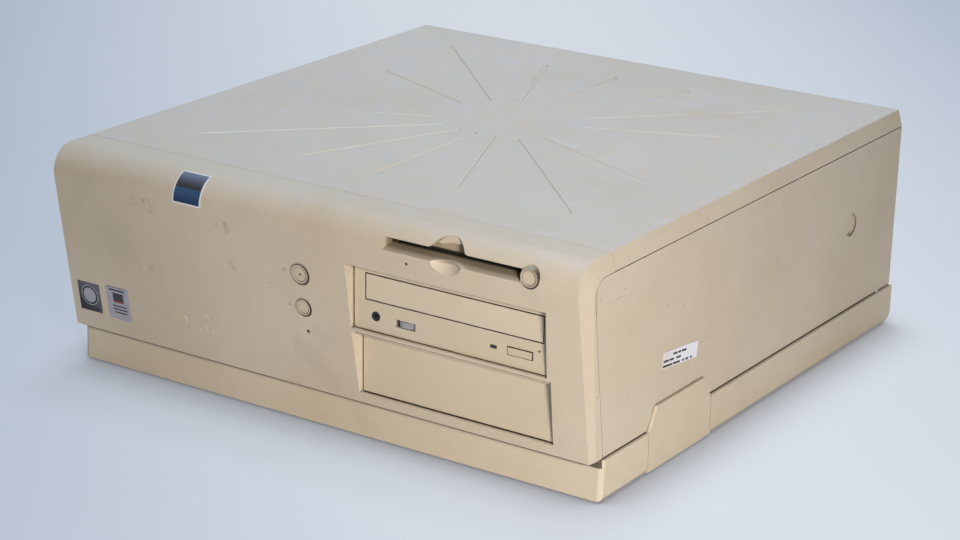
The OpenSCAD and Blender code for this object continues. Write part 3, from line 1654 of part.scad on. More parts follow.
// A round speaker behind a hole in the chassis
module speaker() {
    y0 = front_wall_y + sheet_t + seat;
    rim_t = 4;
    magnet_l = 16;
    cone_deep = 3;
    color(dark_steel) difference() {
        union() {
            rod_y(speaker_x, y0, y0 + rim_t, speaker_z, speaker_r);
            rod_y(speaker_x, y0, y0 + magnet_l, speaker_z, speaker_r * 0.55);
        }
        translate([speaker_x, y0 - eps, speaker_z]) rotate([-90, 0, 0])
            cylinder(r1 = speaker_r - speaker_rim, r2 = speaker_r / 4, h = cone_deep);
    }
}

module case_fan_frame() {
    h = fan_size / 2;
    y1 = fan_y0 + fan_depth;
    hole_in = 4.3;
    hole_r = 2.2;
    color(black) difference() {
        union() {
            difference() {
                slab(fan_x - h, fan_x + h, fan_y0, y1, fan_z - h, fan_z + h);
                rod_y(fan_x, fan_y0 - 1, y1 + 1, fan_z, h - fan_wall);
            }
            translate([fan_x, y1, fan_z]) fan_spider(h, fan_depth - 3);
        }
        for (x = [-1, 1], z = [-1, 1])
            rod_y(fan_x + x * (h - hole_in), fan_y0 - 1, y1 + 1, fan_z + z * (h - hole_in), hole_r);
    }
}

module case_fan_rotor() {
    depth = fan_depth - spider_t - 3;
    color(black) translate([fan_x, fan_y0 + 2, fan_z]) fan_rotor(fan_size / 2 - fan_wall - 1, depth);
}

// The board behind the buttons, with a switch in line with each
module control_board() {
    y0 = front_wall_y - control_t;
    half = 3.2;
    key_r = 1.6;
    color(board_green) slab(button_x - 11, button_x + 13, y0, front_wall_y, light_z - 10, power_z + 12);
    for (z = [power_z, reset_z]) {
        switch_z = z + stem_length(z) * sin(face_lean);
        color(dark_steel) slab(button_x - half, button_x + half, y0 - 1.8, y0,
            switch_z - half, switch_z + half);
        color(black) rod_y(button_x, switch_face_y, y0 - 1.7, switch_z, key_r);
    }
}

// A flat cable in the side view, with a plug at each end
module drive_ribbon() {
    t = 1;
    y0 = hd_y0 + hd_l + 2;
    y1 = y0 + 5;
    z0 = ribbon_z;
    top = hd_z0 + hd_h + 8.6;
    low = board_top + 16;
    plug_w = ribbon_w + 4;
    color([0.62, 0.62, 0.6]) along_x(ribbon_x - ribbon_w / 2, ribbon_x + ribbon_w / 2)
        polygon([
            [y0, z0 - t / 2], [y1 - t, z0 - t / 2], [y1, z0 + t / 2], [y1, top - t], [ribbon_y - t / 2, top - t],
            [ribbon_y - t / 2, low], [ribbon_y + t / 2, low], [ribbon_y + t / 2, top],
            [y1 - t, top], [y1 - t, z0 + t], [y0, z0 + t / 2]
        ]);
    color(black) {
        slab(ribbon_x - plug_w / 2, ribbon_x + plug_w / 2, y0 - 7.5, y0 + 1, z0 - 3.5, z0 + 3.5);
        slab(ribbon_x - plug_w / 2, ribbon_x + plug_w / 2, ribbon_y - 4, ribbon_y + 4, board_top + 9 + seat,
            low + 1);
    }
}

// The leads of the disc drive, from the power supply to its plug
module power_harness() {
    y0 = cd_back_y + seat;
    lead_r = 1.3;
    pitch = 2.9;
    color([0.75, 0.6, 0.1]) for (i = [-1, 0, 1])
        rod_y(harness_x + i * pitch, y0 + 9, psu_y0 + 2, harness_z, lead_r);
    color(paper) slab(harness_x - 10, harness_x + 10, y0, y0 + 10, harness_z - 3, harness_z + 5);
}

base_plinth();
rubber_feet();
chassis_tray();
rear_panel();
drive_cage();
cover_hinge_pins();
release_button_left();
release_button_right();
floppy_case();
floppy_fascia();
floppy_dust_flap();
floppy_eject_key();
cd_case();
cd_faceplate();
cd_tray();
cd_tray_door();
cd_eject_button();
cd_volume_wheel();
cd_headphone_jack();
cd_light_lens();
cd_spindle();
bay_insert();
hard_drive();
hard_drive_bracket();
psu_case();
psu_fan_rotor();
psu_fan_guard();
ac_inlet();
voltage_selector();
main_board();
board_standoffs();
rear_ports();
riser_board();
riser_bracket();
slot_covers();
expansion_card();
memory_modules();
processor_cartridge();
heat_sink();
clock_battery();
speaker();
case_fan_frame();
case_fan_rotor();
control_board();
drive_ribbon();
power_harness();
front_bezel();
top_panel();
side_panel_left();
side_panel_right();
cover_shell();
badge_plate();
corner_labels();
side_label();
side_plug();
power_button();
reset_button();
floppy_eject_button();
power_light();
light_lenses();
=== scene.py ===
import math
import random

import bmesh
import bpy
from mathutils import Matrix, Vector


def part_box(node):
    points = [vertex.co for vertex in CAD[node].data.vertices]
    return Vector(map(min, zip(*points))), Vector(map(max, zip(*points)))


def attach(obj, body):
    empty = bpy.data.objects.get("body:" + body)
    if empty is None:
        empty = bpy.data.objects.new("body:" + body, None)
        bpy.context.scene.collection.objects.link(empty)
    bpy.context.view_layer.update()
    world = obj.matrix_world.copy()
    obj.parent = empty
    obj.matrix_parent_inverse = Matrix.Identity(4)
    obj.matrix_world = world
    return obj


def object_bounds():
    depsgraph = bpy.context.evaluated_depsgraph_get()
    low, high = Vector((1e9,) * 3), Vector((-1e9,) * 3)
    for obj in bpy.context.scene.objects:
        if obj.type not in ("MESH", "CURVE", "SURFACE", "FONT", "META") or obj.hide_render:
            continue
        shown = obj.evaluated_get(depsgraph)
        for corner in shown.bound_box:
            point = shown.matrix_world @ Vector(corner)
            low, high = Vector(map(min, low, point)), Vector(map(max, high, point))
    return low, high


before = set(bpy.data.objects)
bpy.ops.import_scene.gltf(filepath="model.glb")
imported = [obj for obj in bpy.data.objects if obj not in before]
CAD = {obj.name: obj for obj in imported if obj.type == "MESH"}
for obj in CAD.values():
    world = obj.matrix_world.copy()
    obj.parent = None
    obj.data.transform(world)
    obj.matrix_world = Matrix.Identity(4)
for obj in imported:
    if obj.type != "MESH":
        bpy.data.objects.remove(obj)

MM = 0.001
CAD_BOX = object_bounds()
SHARP = math.radians(38)  # bends above this count as edges


# ---- Camera, lamps and colours ----

def aim(turn, drop, roll=0.0):
    """Axes of something that looks at the object from a turn about Z and a height angle."""
    t, d, r = (math.radians(a) for a in (turn, drop, roll))
    back = Vector((math.sin(t) * math.cos(d), -math.cos(t) * math.cos(d), math.sin(d)))
    right = Vector((math.cos(t), math.sin(t), 0))
    up = back.cross(right)
    level_right = math.cos(r) * right + math.sin(r) * up
    level_up = -math.sin(r) * right + math.cos(r) * up
    return Matrix((level_right, level_up, back)).transposed().to_4x4()


CAMERA_PLACE = (0.9665, -1.44397, 0.66245)
CAMERA_TURN, CAMERA_DROP, CAMERA_ROLL = 33.98, 19.21, 0.89
CAMERA_LENS = 96.13


def placed(name, data):
    """A new object in the scene."""
    made = bpy.data.objects.new(name, data)
    bpy.context.scene.collection.objects.link(made)
    return made


def mesh_of(name, build):
    """A finished mesh of what was built."""
    mesh = bpy.data.meshes.new(name)
    build.to_mesh(mesh)
    build.free()
    return mesh


def place_camera():
    """The camera that looks down on the front right corner."""
    data = bpy.data.cameras.new("camera")
    data.sensor_width = 36
    data.lens = CAMERA_LENS
    data.clip_end = 50
    camera = placed("camera", data)
    camera.matrix_world = Matrix.Translation(CAMERA_PLACE) @ aim(CAMERA_TURN, CAMERA_DROP, CAMERA_ROLL)
    bpy.context.scene.camera = camera


def place_lamp(name, place, target, size, power, color, spread):
    """A round lamp that looks at a target; size in metres, power in watts, spread in degrees."""
    data = bpy.data.lights.new(name, "AREA")
    data.shape = "DISK"
    data.size = size
    data.energy = power
    data.spread = math.radians(spread)
    data.color = color
    lamp = placed(name, data)
    look = Vector(target) - Vector(place)
    lamp.matrix_world = Matrix.Translation(place) @ look.to_track_quat("-Z", "Y").to_matrix().to_4x4()


def srgb(r, g, b):
    """Linear colour of an 8-bit display colour."""
    def part(v):
        v /= 255
        return v / 12.92 if v <= 0.04045 else ((v + 0.055) / 1.055) ** 2.4
    return (part(r), part(g), part(b), 1.0)


def darker(color, share):
    """A share of a linear colour."""
    return [part * share for part in color[:3]] + [1]


# the colour of painted shade in gaps, seams, the diskette slot and under the bezel
PAINTED_SHADE_DARK = srgb(52, 40, 22)
# the pale of rubbed plastic edges, partly a painted highlight along the edges
WORN_AND_HIGHLIT_PALE = srgb(226, 216, 202)
DUST_GREY = srgb(196, 197, 198)
GRIME_BROWN = srgb(92, 76, 56)
STAIN_BROWN = srgb(104, 88, 66)
CHIP_PALE = srgb(224, 216, 202)
# the colour of the painted shade in the diskette recess
RECESS_SHADE_OLIVE = srgb(104, 88, 58)
BEIGE, BEIGE_AGED = srgb(206, 192, 171), srgb(194, 176, 147)
BUTTON_BEIGE, BUTTON_AGED = srgb(206, 192, 168), srgb(190, 170, 138)
# floor colours: a painted pool of light, the paper out of it, and a painted shadow near the object
PAINTED_LIGHT_PALE, PAPER_OUT_OF_PAINTED_LIGHT, PAINTED_SHADOW_DARK = srgb(221, 227, 236), srgb(168, 182, 201), srgb(88, 80, 72)
BACKDROP, ROOM_COLOR = srgb(202, 213, 227), srgb(222, 229, 240)
PAPER_SHADE = 0.2  # how much of the floor's colour follows its light
ROOM_LIGHT = 0.04


# ---- Places on the object, in millimetres ----

ROUNDING = 18.5        # radius of the bezel's upper edge
BADGE_PROUD = 0.3
BADGE_TURNS = (-3, 31.5, 72)  # the badge's foot, middle line and head, in degrees round that edge
LABEL_SLOPE = 6.4      # degrees by which the side label runs down
RECESS_LOW, RECESS_HIGH = 144.8, 154.2
RECESS_PAST_FLAP = 16  # how far the diskette recess reaches past the dust flap on each side
RINGS = ((-2.3, 113.7, 7.1), (-2.3, 89.8, 6.0), (176.4, 149.8, 6.6))  # button gaps: x, z, radius
# stains: x, y, z, radius, strength, grain; chipped patches: x, y, z, radius
STAINS = ((-135, -217.6, 137.3, 7, 0.4, 200.0), (-62, -217.2, 134.7, 6, 0.3, 170.0),
          (-130, -210.3, 90.3, 5, 0.2, 240.0), (-57.6, -213.1, 108.2, 7, 0.2, 140.0))
CHIPS = ((-108.8, -205.2, 57.4, 10), (-92, -204.4, 50, 12), (-88, -206.5, 62, 8))
BASE_SHADE_BELOW_BEZEL = (6.8, 5.5)  # the painted shade on the base starts and is full this far below the bezel's foot
# rules of the side label: left, right and bottom; all 1.5 high, measured from 4.5 up its slope
SIDE_RULES = ((14, 19.5, 8.0), (20.5, 24, 8.0), (25, 31, 8.0), (2, 8.5, 4.6), (9.5, 15, 4.6), (18, 24, 4.6),
              (1, 13, 1.3), (14, 23, 1.3), (26, 28.5, 1.3), (30, 34, 1.3), (36, 38.5, 1.3))
PANEL_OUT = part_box("slot_covers")[1][1] / MM + 1.0      # outer face of the rear panel
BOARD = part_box("board_standoffs")[1][2] / MM + 1.6      # top of the main board
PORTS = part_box("rear_ports")[0][0] / MM                 # left end of the rear sockets
WIRE_PITCH, PIN_PITCH, CONTACT_PITCH = 1.27, 2.77, 1.02
TRACK_PITCH = 1.6 * MM  # in metres
SLOT_PITCH, SLOT_FIRST = 20.32, 56
# chips on the main board: left, front, width and depth
CHIP_PLACES = ((-96, 97.85, 35, 35), (-172, 97.85, 28, 28), (-120, 61.85, 16, 24), (20, 151.85, 28, 28))


# ---- Short calls that add shader nodes ----

def add(tree, kind, inputs=None, **settings):
    """A shader node with its settings, and its inputs linked or set by name or number."""
    made = tree.nodes.new("ShaderNode" + kind)
    for name, value in settings.items():
        setattr(made, name, value)
    for name, value in (inputs or {}).items():
        socket = made.inputs[name]
        if isinstance(value, bpy.types.NodeSocket):
            tree.links.new(value, socket)
        else:
            socket.default_value = value
    return made


def step(kind, inputs, **settings):
    """A shader node in the tree that its inputs come from."""
    tree = next(value.id_data for value in inputs.values() if isinstance(value, bpy.types.NodeSocket))
    return add(tree, kind, inputs, **settings)


def calc(operation, a, b=0.0, clamp=False):
    """One step of arithmetic on values."""
    return step("Math", {0: a, 1: b}, operation=operation, use_clamp=clamp).outputs[0]


def times(a, b):
    return calc("MULTIPLY", a, b)


def held(mask, amount):
    """A mask times an amount, kept between 0 and 1."""
    return calc("MULTIPLY", mask, amount, clamp=True)


def plus(a, b):
    return calc("ADD", a, b)


def minus(a, b):
    return calc("SUBTRACT", a, b)


def inside(value, low, high):
    """1 where value lies between low and high."""
    return times(calc("GREATER_THAN", value, low), calc("LESS_THAN", value, high))


def vector(operation, a, b=(0, 0, 0)):
    """One step of arithmetic on vectors; a length or a dot product is a value."""
    made = step("VectorMath", {0: a, 1: b}, operation=operation)
    return made.outputs["Value" if operation in ("LENGTH", "DOT_PRODUCT") else "Vector"]


def split(place):
    """The X, Y and Z of a vector."""
    return step("SeparateXYZ", {0: place}).outputs


def fade(value, low, high, to_low=0.0, to_high=1.0):
    """value from low..high brought smoothly to to_low..to_high."""
    made = step("MapRange", {0: value, 1: low, 2: high, 3: to_low, 4: to_high},
                interpolation_type="SMOOTHSTEP")
    return made.outputs[0]


def blend(share, first, second, how="MIX"):
    """Two colours mixed."""
    made = step("Mix", {0: share, 6: first, 7: second}, data_type="RGBA", blend_type=how)
    return made.outputs[2]


def noise(place, scale, detail=2.0, roughness=0.5, distortion=0.0):
    """Soft noise from 0 to 1."""
    made = step("TexNoise", {"Vector": place, "Scale": scale, "Detail": detail,
                              "Roughness": roughness, "Distortion": distortion})
    return made.outputs["Fac"]


def object_place(tree):
    """Where a shaded point lies on the object, in metres."""
    return add(tree, "TexCoord").outputs["Object"]


def split_place(tree):
    return split(object_place(tree))


def from_corner(tree, corner):
    """How far the shaded point lies from a corner along each axis."""
    return [minus(part, start) for part, start in zip(split_place(tree), corner)]


def away_from(tree, middle, weights):
    """How far the shaded point lies from a middle, each axis weighted: the vector and its length."""
    off = vector("MULTIPLY", vector("SUBTRACT", object_place(tree), middle), weights)
    return off, vector("LENGTH", off)


def channel(color, number=0):
    """One channel of a colour as a value."""
    return step("SeparateColor", {0: color}).outputs[number]


def stretched(place, scale, turn=(0, 0, 0)):
    """A place turned by degrees and scaled, so that a texture on it is drawn out."""
    made = step("Mapping", {"Vector": place, "Scale": scale,
                             "Rotation": [math.radians(a) for a in turn]})
    return made.outputs[0]


SOCKETS = {1: "NodeSocketFloat", 3: "NodeSocketVector", 4: "NodeSocketColor"}
ANY_COLOR = (0.5, 0.5, 0.5, 1)
ORIGIN = (0, 0, 0)


def effect(name, outputs, **inputs):
    """An empty node group with named sockets: its tree, inputs by name, and the output node. An input
    that starts from one number is a value, from three a vector and from four a colour. Of the outputs
    Color is a colour and the rest are values."""
    tree = bpy.data.node_groups.new(name, "ShaderNodeTree")
    for label, start in inputs.items():
        numbers = 1 if isinstance(start, float) else len(start)
        socket = tree.interface.new_socket(label, in_out="INPUT", socket_type=SOCKETS[numbers])
        socket.default_value = start
    for label in outputs.split():
        numbers = 4 if label == "Color" else 1
        tree.interface.new_socket(label, in_out="OUTPUT", socket_type=SOCKETS[numbers])
    source = tree.nodes.new("NodeGroupInput")
    return tree, source.outputs, tree.nodes.new("NodeGroupOutput")


def give(out, **results):
    """Links an effect's results to its named outputs; the finished effect."""
    for label, result in results.items():
        out.id_data.links.new(result, out.inputs[label])
    return out.id_data


def use(tree, group, **inputs):
    """An effect placed in a material with its own values; its outputs."""
    return add(tree, "Group", inputs, node_tree=group).outputs


# ---- Shared effects ----

def make_mould_grain():
    """The fine sparked texture of moulded plastic."""
    tree, inp, out = effect("mould_grain", "Height", Scale=1500.0, Pits=0.5)
    place = object_place(tree)
    lumps = noise(place, inp["Scale"], 3.0, 0.6)
    cells = add(tree, "TexVoronoi", {"Vector": place, "Scale": times(inp["Scale"], 0.8)})
    pits = times(cells.outputs["Distance"], inp["Pits"])
    return give(out, Height=plus(lumps, pits))


def make_ageing():
    """Plastic that has yellowed in large soft patches, with a fine mottle."""
    tree, inp, out = effect("ageing", "Color", Fresh=(0.6, 0.5, 0.4, 1), Aged=(0.5, 0.4, 0.3, 1),
                            Fineness=6.0, Amount=0.5, Mottle=0.1)
    place = object_place(tree)
    patches = fade(noise(place, inp["Fineness"], 4.0, 0.6, 0.4), 0.35, 0.68)
    aged = blend(times(patches, inp["Amount"]), inp["Fresh"], inp["Aged"])
    mottle = noise(place, 260.0, 3.0, 0.7)
    shade = plus(1.0, times(minus(mottle, 0.5), inp["Mottle"]))
    grey = add(tree, "CombineColor", {0: shade, 1: shade, 2: shade}).outputs[0]
    return give(out, Color=blend(1.0, aged, grey, "MULTIPLY"))


def make_edge_wear():
    """Edges rubbed paler or shinier, broken up by noise."""
    tree, inp, out = effect("edge_wear", "Color Edge", Color=ANY_COLOR, Worn=(0.7, 0.7, 0.7, 1),
                            Radius=1 * MM, Amount=0.6)
    rounded = add(tree, "Bevel", {"Radius": inp["Radius"]}, samples=6).outputs[0]
    alike = vector("DOT_PRODUCT", rounded, add(tree, "NewGeometry").outputs["Normal"])
    broken = fade(noise(object_place(tree), 90.0, 5.0, 0.7), 0.35, 0.65)
    edge = held(times(fade(alike, 0.98, 0.86), broken), inp["Amount"])
    return give(out, Color=blend(edge, inp["Color"], inp["Worn"]), Edge=edge)


def make_grime_and_seam_shade():
    """Dirt that gathers in inner corners, and painted shade that darkens deep narrow seams."""
    tree, inp, out = effect("grime", "Color", Color=ANY_COLOR, Dirt=(0.1, 0.08, 0.06, 1), Reach=4 * MM,
                            Amount=0.5, Seams=0.9)
    open_air = add(tree, "AmbientOcclusion", {"Distance": inp["Reach"]}, samples=8).outputs["AO"]
    broken = fade(noise(object_place(tree), 45.0, 4.0, 0.65), 0.25, 0.7, 0.4, 1.0)
    mask = held(times(fade(open_air, 0.85, 0.35), broken), inp["Amount"])
    filmed = blend(mask, inp["Color"], inp["Dirt"])
    # painted shade: deep narrow seams are darkened where ambient occlusion is low
    seam_shade_mask = held(fade(open_air, 0.66, 0.3), inp["Seams"])
    return give(out, Color=blend(seam_shade_mask, filmed, PAINTED_SHADE_DARK))


def make_handling():
    """Scuffs, thin scratches and small dark specks from years of use."""
    tree, inp, out = effect("handling", "Color Smudge", Color=ANY_COLOR, Mark=(0.2, 0.17, 0.13, 1),
                            Scratches=0.3, Specks=0.3, Smudges=0.3)
    place = object_place(tree)
    total = None
    for turn, scale in (((12, 35, 20), (14, 420, 420)), ((70, 10, 115), (420, 18, 420)),
                        ((35, 60, 62), (22, 380, 380))):
        streaks = noise(stretched(place, scale, turn), 1.0, 2.0, 0.5)
        thin = fade(streaks, 0.735, 0.775)
        total = thin if total is None else calc("MAXIMUM", total, thin)
    where = fade(noise(place, 9.0, 2.0, 0.5), 0.5, 0.62)
    scratch = held(times(total, where), inp["Scratches"])
    dots = add(tree, "TexVoronoi", {"Vector": place, "Scale": 70.0, "Randomness": 1.0})
    few = calc("GREATER_THAN", channel(dots.outputs["Color"]), 0.9)
    speck = times(fade(dots.outputs["Distance"], 0.085, 0.03), few)
    speck = held(speck, inp["Specks"])
    smudge = fade(noise(place, 17.0, 5.0, 0.62, 0.8), 0.52, 0.78)
    smudge = held(smudge, inp["Smudges"])
    marks = calc("MAXIMUM", scratch, calc("MAXIMUM", speck, times(smudge, 0.35)))
    return give(out, Color=blend(marks, inp["Color"], inp["Mark"]), Smudge=smudge)


def make_dust():
    """Pale dust on faces that look up."""
    tree, inp, out = effect("dust", "Color Mask", Color=ANY_COLOR, Dust=(0.55, 0.52, 0.47, 1), Amount=0.3)
    up = split(add(tree, "NewGeometry").outputs["Normal"])[2]
    clumps = noise(object_place(tree), 38.0, 6.0, 0.75)
    mask = times(fade(up, 0.3, 0.95), fade(clumps, 0.3, 0.75, 0.25, 1.0))
    mask = held(mask, inp["Amount"])
    return give(out, Color=blend(mask, inp["Color"], inp["Dust"]), Mask=mask)


def make_rolled():
    """The fine lines that rolling or brushing leaves on metal, along X."""
    tree, inp, out = effect("rolled", "Height Tone", Fineness=900.0)
    long_way = vector("MULTIPLY", object_place(tree), (0.02, 1.0, 1.0))
    lines = noise(long_way, inp["Fineness"], 3.0, 0.6)
    return give(out, Height=lines, Tone=fade(lines, 0.3, 0.7))


def make_spangle():
    """The crystals of a zinc coat on sheet steel."""
    tree, inp, out = effect("spangle", "Tone", Scale=140.0)
    place = object_place(tree)
    wobble = add(tree, "TexNoise", {"Vector": place, "Scale": 60.0}).outputs["Color"]
    bent = add(tree, "VectorMath", {0: wobble, 1: (0.012,) * 3, 2: place}, operation="MULTIPLY_ADD")
    cells = add(tree, "TexVoronoi", {"Vector": bent.outputs[0], "Scale": inp["Scale"]})
    return give(out, Tone=channel(cells.outputs["Color"]))


def make_tracks():
    """Bundles of copper tracks that turn at right angles, and rows of plated holes, under lacquer."""
    tree, inp, out = effect("tracks", "Track Hole", Across=ORIGIN, Pitch=TRACK_PITCH)
    per = calc("DIVIDE", 1.0, inp["Pitch"])
    cells = add(tree, "TexVoronoi", {"Vector": inp["Across"], "Scale": 48.0, "Randomness": 0.85},
                voronoi_dimensions="2D", distance="CHEBYCHEV")
    way = add(tree, "SeparateColor", {0: cells.outputs["Color"]}).outputs
    flat = split(inp["Across"])
    stripes = []
    for along in (flat[0], flat[1]):
        wave = calc("PINGPONG", times(along, per), 0.5)
        stripes.append(calc("LESS_THAN", wave, 0.17))
    side = calc("GREATER_THAN", way[0], 0.5)
    track = plus(times(stripes[0], side), times(stripes[1], minus(1.0, side)))
    track = times(track, calc("GREATER_THAN", way[1], 0.3))
    dots = add(tree, "TexVoronoi", {"Vector": inp["Across"], "Scale": times(per, 0.5),
                                    "Randomness": 0.0}, voronoi_dimensions="2D")
    some = calc("GREATER_THAN", channel(dots.outputs["Color"], 1), 0.72)
    hole = times(calc("LESS_THAN", dots.outputs["Distance"], 0.2), some)
    return give(out, Track=track, Hole=hole)


def gap_shade_line(inp, out, off, heavy):
    """The painted shade line where off is about 0, as heavy along its way as said; the finished effect."""
    near = calc("DIVIDE", calc("ABSOLUTE", off), inp["Width"])
    line = held(times(fade(near, 1.15, 0.6), heavy), inp["Amount"])
    return give(out, Color=blend(line, inp["Color"], PAINTED_SHADE_DARK))


def make_square_gap_shade():
    """The painted shade line that follows a square gap in the XZ plane, from its low and high corners."""
    tree, inp, out = effect("square_gap_shade", "Color", Color=ANY_COLOR, Low=ORIGIN, High=ORIGIN, Width=0.4 * MM,
                            Amount=0.85)
    place = object_place(tree)
    before = split(vector("SUBTRACT", inp["Low"], place))
    beyond = split(vector("SUBTRACT", place, inp["High"]))
    off = calc("MAXIMUM", calc("MAXIMUM", before[0], beyond[0]),
               calc("MAXIMUM", before[2], beyond[2]))
    uneven = noise(place, 120.0, 3.0, 0.6)
    return gap_shade_line(inp, out, off, fade(uneven, 0.25, 0.6, 0.65, 1.0))


def make_round_gap_shade():
    """The painted shade line round a round gap, heavier at its lower right as a painted shadow."""
    tree, inp, out = effect("round_gap_shade", "Color", Color=ANY_COLOR, Middle=ORIGIN, Radius=5 * MM,
                            Width=0.4 * MM, Amount=0.8, Plane=(1, 0, 1))
    flat, out_by = away_from(tree, inp["Middle"], inp["Plane"])
    # painted shadow: the line grows heavier towards the lower right
    lean = vector("DOT_PRODUCT", flat, (0.85, 0, -0.5))
    heavy = fade(calc("DIVIDE", lean, inp["Radius"]), -0.7, 0.5, 0.4, 1.0)
    return gap_shade_line(inp, out, minus(out_by, inp["Radius"]), heavy)


def make_stain():
    """One soft uneven mark round a place."""
    tree, inp, out = effect("stain", "Color", Color=ANY_COLOR, Stain=(0.2, 0.15, 0.1, 1), Middle=ORIGIN,
                            Stretch=(1, 1, 1), Radius=4 * MM, Amount=0.4, Grit=200.0, From=0.4, To=0.6)
    place = object_place(tree)
    out_by = away_from(tree, inp["Middle"], inp["Stretch"])[1]
    ragged = plus(calc("DIVIDE", out_by, inp["Radius"]),
                  fade(noise(place, 150.0, 3.0, 0.6), 0.3, 0.7, -0.35, 0.35))
    soft = fade(ragged, 1.0, 0.3)
    drawn_out = stretched(place, (1, 1, 0.35))
    broken = fade(noise(drawn_out, inp["Grit"], 2.0, 0.5), inp["From"], inp["To"])
    mark = held(times(soft, broken), inp["Amount"])
    return give(out, Color=blend(mark, inp["Color"], inp["Stain"]))


GRAIN = make_mould_grain()
AGEING = make_ageing()
EDGE_WEAR = make_edge_wear()
GRIME_AND_SEAM_SHADE = make_grime_and_seam_shade()
HANDLING = make_handling()
DUST = make_dust()
ROLLED = make_rolled()
SPANGLE = make_spangle()
TRACKS = make_tracks()
SQUARE_GAP_SHADE = make_square_gap_shade()
ROUND_GAP_SHADE = make_round_gap_shade()
STAIN = make_stain()


# ---- Materials ----

def new_material(name):
    """An empty material with its Principled shader: the material, its tree and the shader."""
    material = bpy.data.materials.new(name)
    material.use_nodes = True
    tree = material.node_tree
    return material, tree, tree.nodes["Principled BSDF"]


def finish(shader, color, roughness, height=None, depth=0.0, **constants):
    """Feeds the shader: colour and roughness from nodes or as plain values, bump, and plain constants."""
    tree = shader.id_data
    for socket, value in (("Base Color", color), ("Roughness", roughness)):
        if isinstance(value, bpy.types.NodeSocket):
            tree.links.new(value, shader.inputs[socket])
        else:
            shader.inputs[socket].default_value = value
    if height is not None:
        bump = add(tree, "Bump", {"Height": height, "Distance": depth})
        tree.links.new(bump.outputs[0], shader.inputs["Normal"])
    for socket, value in constants.items():
        shader.inputs[socket.replace("_", " ")].default_value = value


def moulded_plastic(name, fresh, aged, amount=0.55, grain=1500.0, depth=0.06 * MM, rough=(0.46, 0.6),
                    wear=0.35, grime=0.5, specks=0.45, smudges=0.45, dust=0.3, seam_shade=0.9, marks=None):
    """Textured ABS that has been used for years. marks adds the stains and painted shade of one piece to its
    colour.
    """
    material, tree, shader = new_material(name)
    age = use(tree, AGEING, Fresh=fresh, Aged=aged, Fineness=5.0, Amount=amount, Mottle=0.1)
    used = use(tree, HANDLING, Color=age["Color"], Scratches=0.25, Specks=specks, Smudges=smudges,
               Mark=darker(aged, 0.42))
    # edges paler from wear and from a painted highlight
    worn = use(tree, EDGE_WEAR, Color=used["Color"], Worn=WORN_AND_HIGHLIT_PALE, Radius=0.9 * MM, Amount=wear)
    # this grime group also paints shade into deep seams
    dirty = use(tree, GRIME_AND_SEAM_SHADE, Color=worn["Color"], Dirt=GRIME_BROWN, Reach=3 * MM, Amount=grime, Seams=seam_shade)
    dusty = use(tree, DUST, Color=dirty["Color"], Dust=DUST_GREY, Amount=dust)
    color = marks(tree, dusty["Color"]) if marks else dusty["Color"]
    bumps = use(tree, GRAIN, Scale=grain, Pits=0.5)
    rough_at = fade(used["Smudge"], 0.0, 0.3, rough[1], rough[0])
    rough_at = plus(rough_at, times(worn["Edge"], -0.12))
    finish(shader, color, rough_at, bumps["Height"], depth, IOR=1.52)
    return material


def drive_front_gap_shade(tree, color):
    """Painted shade in the gaps round the tray's door, the button, the drive's front and the blank front."""
    for node in ("cd_tray_door", "cd_eject_button", "cd_faceplate", "bay_insert"):
        low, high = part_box(node)
        # painted shade along each gap
        color = use(tree, SQUARE_GAP_SHADE, Color=color, Low=low, High=high, Width=0.45 * MM, Amount=0.95)["Color"]
    return color


def base_shade_under_bezel(tree, color):
    """Painted shade on the front of the base, close under the bezel."""
    xyz = split_place(tree)
    bezel_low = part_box("front_bezel")[0][2]
    front = calc("LESS_THAN", xyz[1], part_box("base_plinth")[0][1] + 2 * MM)
    start, full = (bezel_low - down * MM for down in BASE_SHADE_BELOW_BEZEL)
    # painted shade: darker towards the bezel's overhang
    return blend(times(fade(xyz[2], start, full, 0.0, 0.9), front), color, PAINTED_SHADE_DARK)


def flap_edge_shade(tree, color):
    """The lower edge of the dust flap, over the slot, darkened with painted shade."""
    up = split_place(tree)[2]
    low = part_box("floppy_dust_flap")[0][2]
    # painted shade along the flap's lower edge
    return blend(fade(up, low + 1.6 * MM, low + 0.9 * MM), color, PAINTED_SHADE_DARK)


def gap_shade_rings(tree, color, places, width, amount):
    """Rings of painted shade, each from a middle x and z and a radius in mm."""
    for x, z, radius in places:
        color = use(tree, ROUND_GAP_SHADE, Color=color, Middle=(x * MM, 0, z * MM), Width=width,
                    Radius=radius * MM, Amount=amount)["Color"]
    return color


def button_ring_shade(tree, color):
    """A ring of painted shade on the middle of each button, and painted shade in the gap round it."""
    color = gap_shade_rings(tree, color, [(x, z, radius * 0.7) for x, z, radius in RINGS], 0.5 * MM, 0.6)
    return gap_shade_rings(tree, color, RINGS, 0.75 * MM, 0.95)


def side_plug_gap_shade(tree, color):
    """Painted shade in the gap round the plug in the right side."""
    low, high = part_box("side_plug")
    return use(tree, ROUND_GAP_SHADE, Color=color, Middle=(low + high) / 2, Plane=(0, 1, 1),
               Radius=(high[2] - low[2]) / 2 - 0.3 * MM, Width=0.7 * MM, Amount=0.7)["Color"]


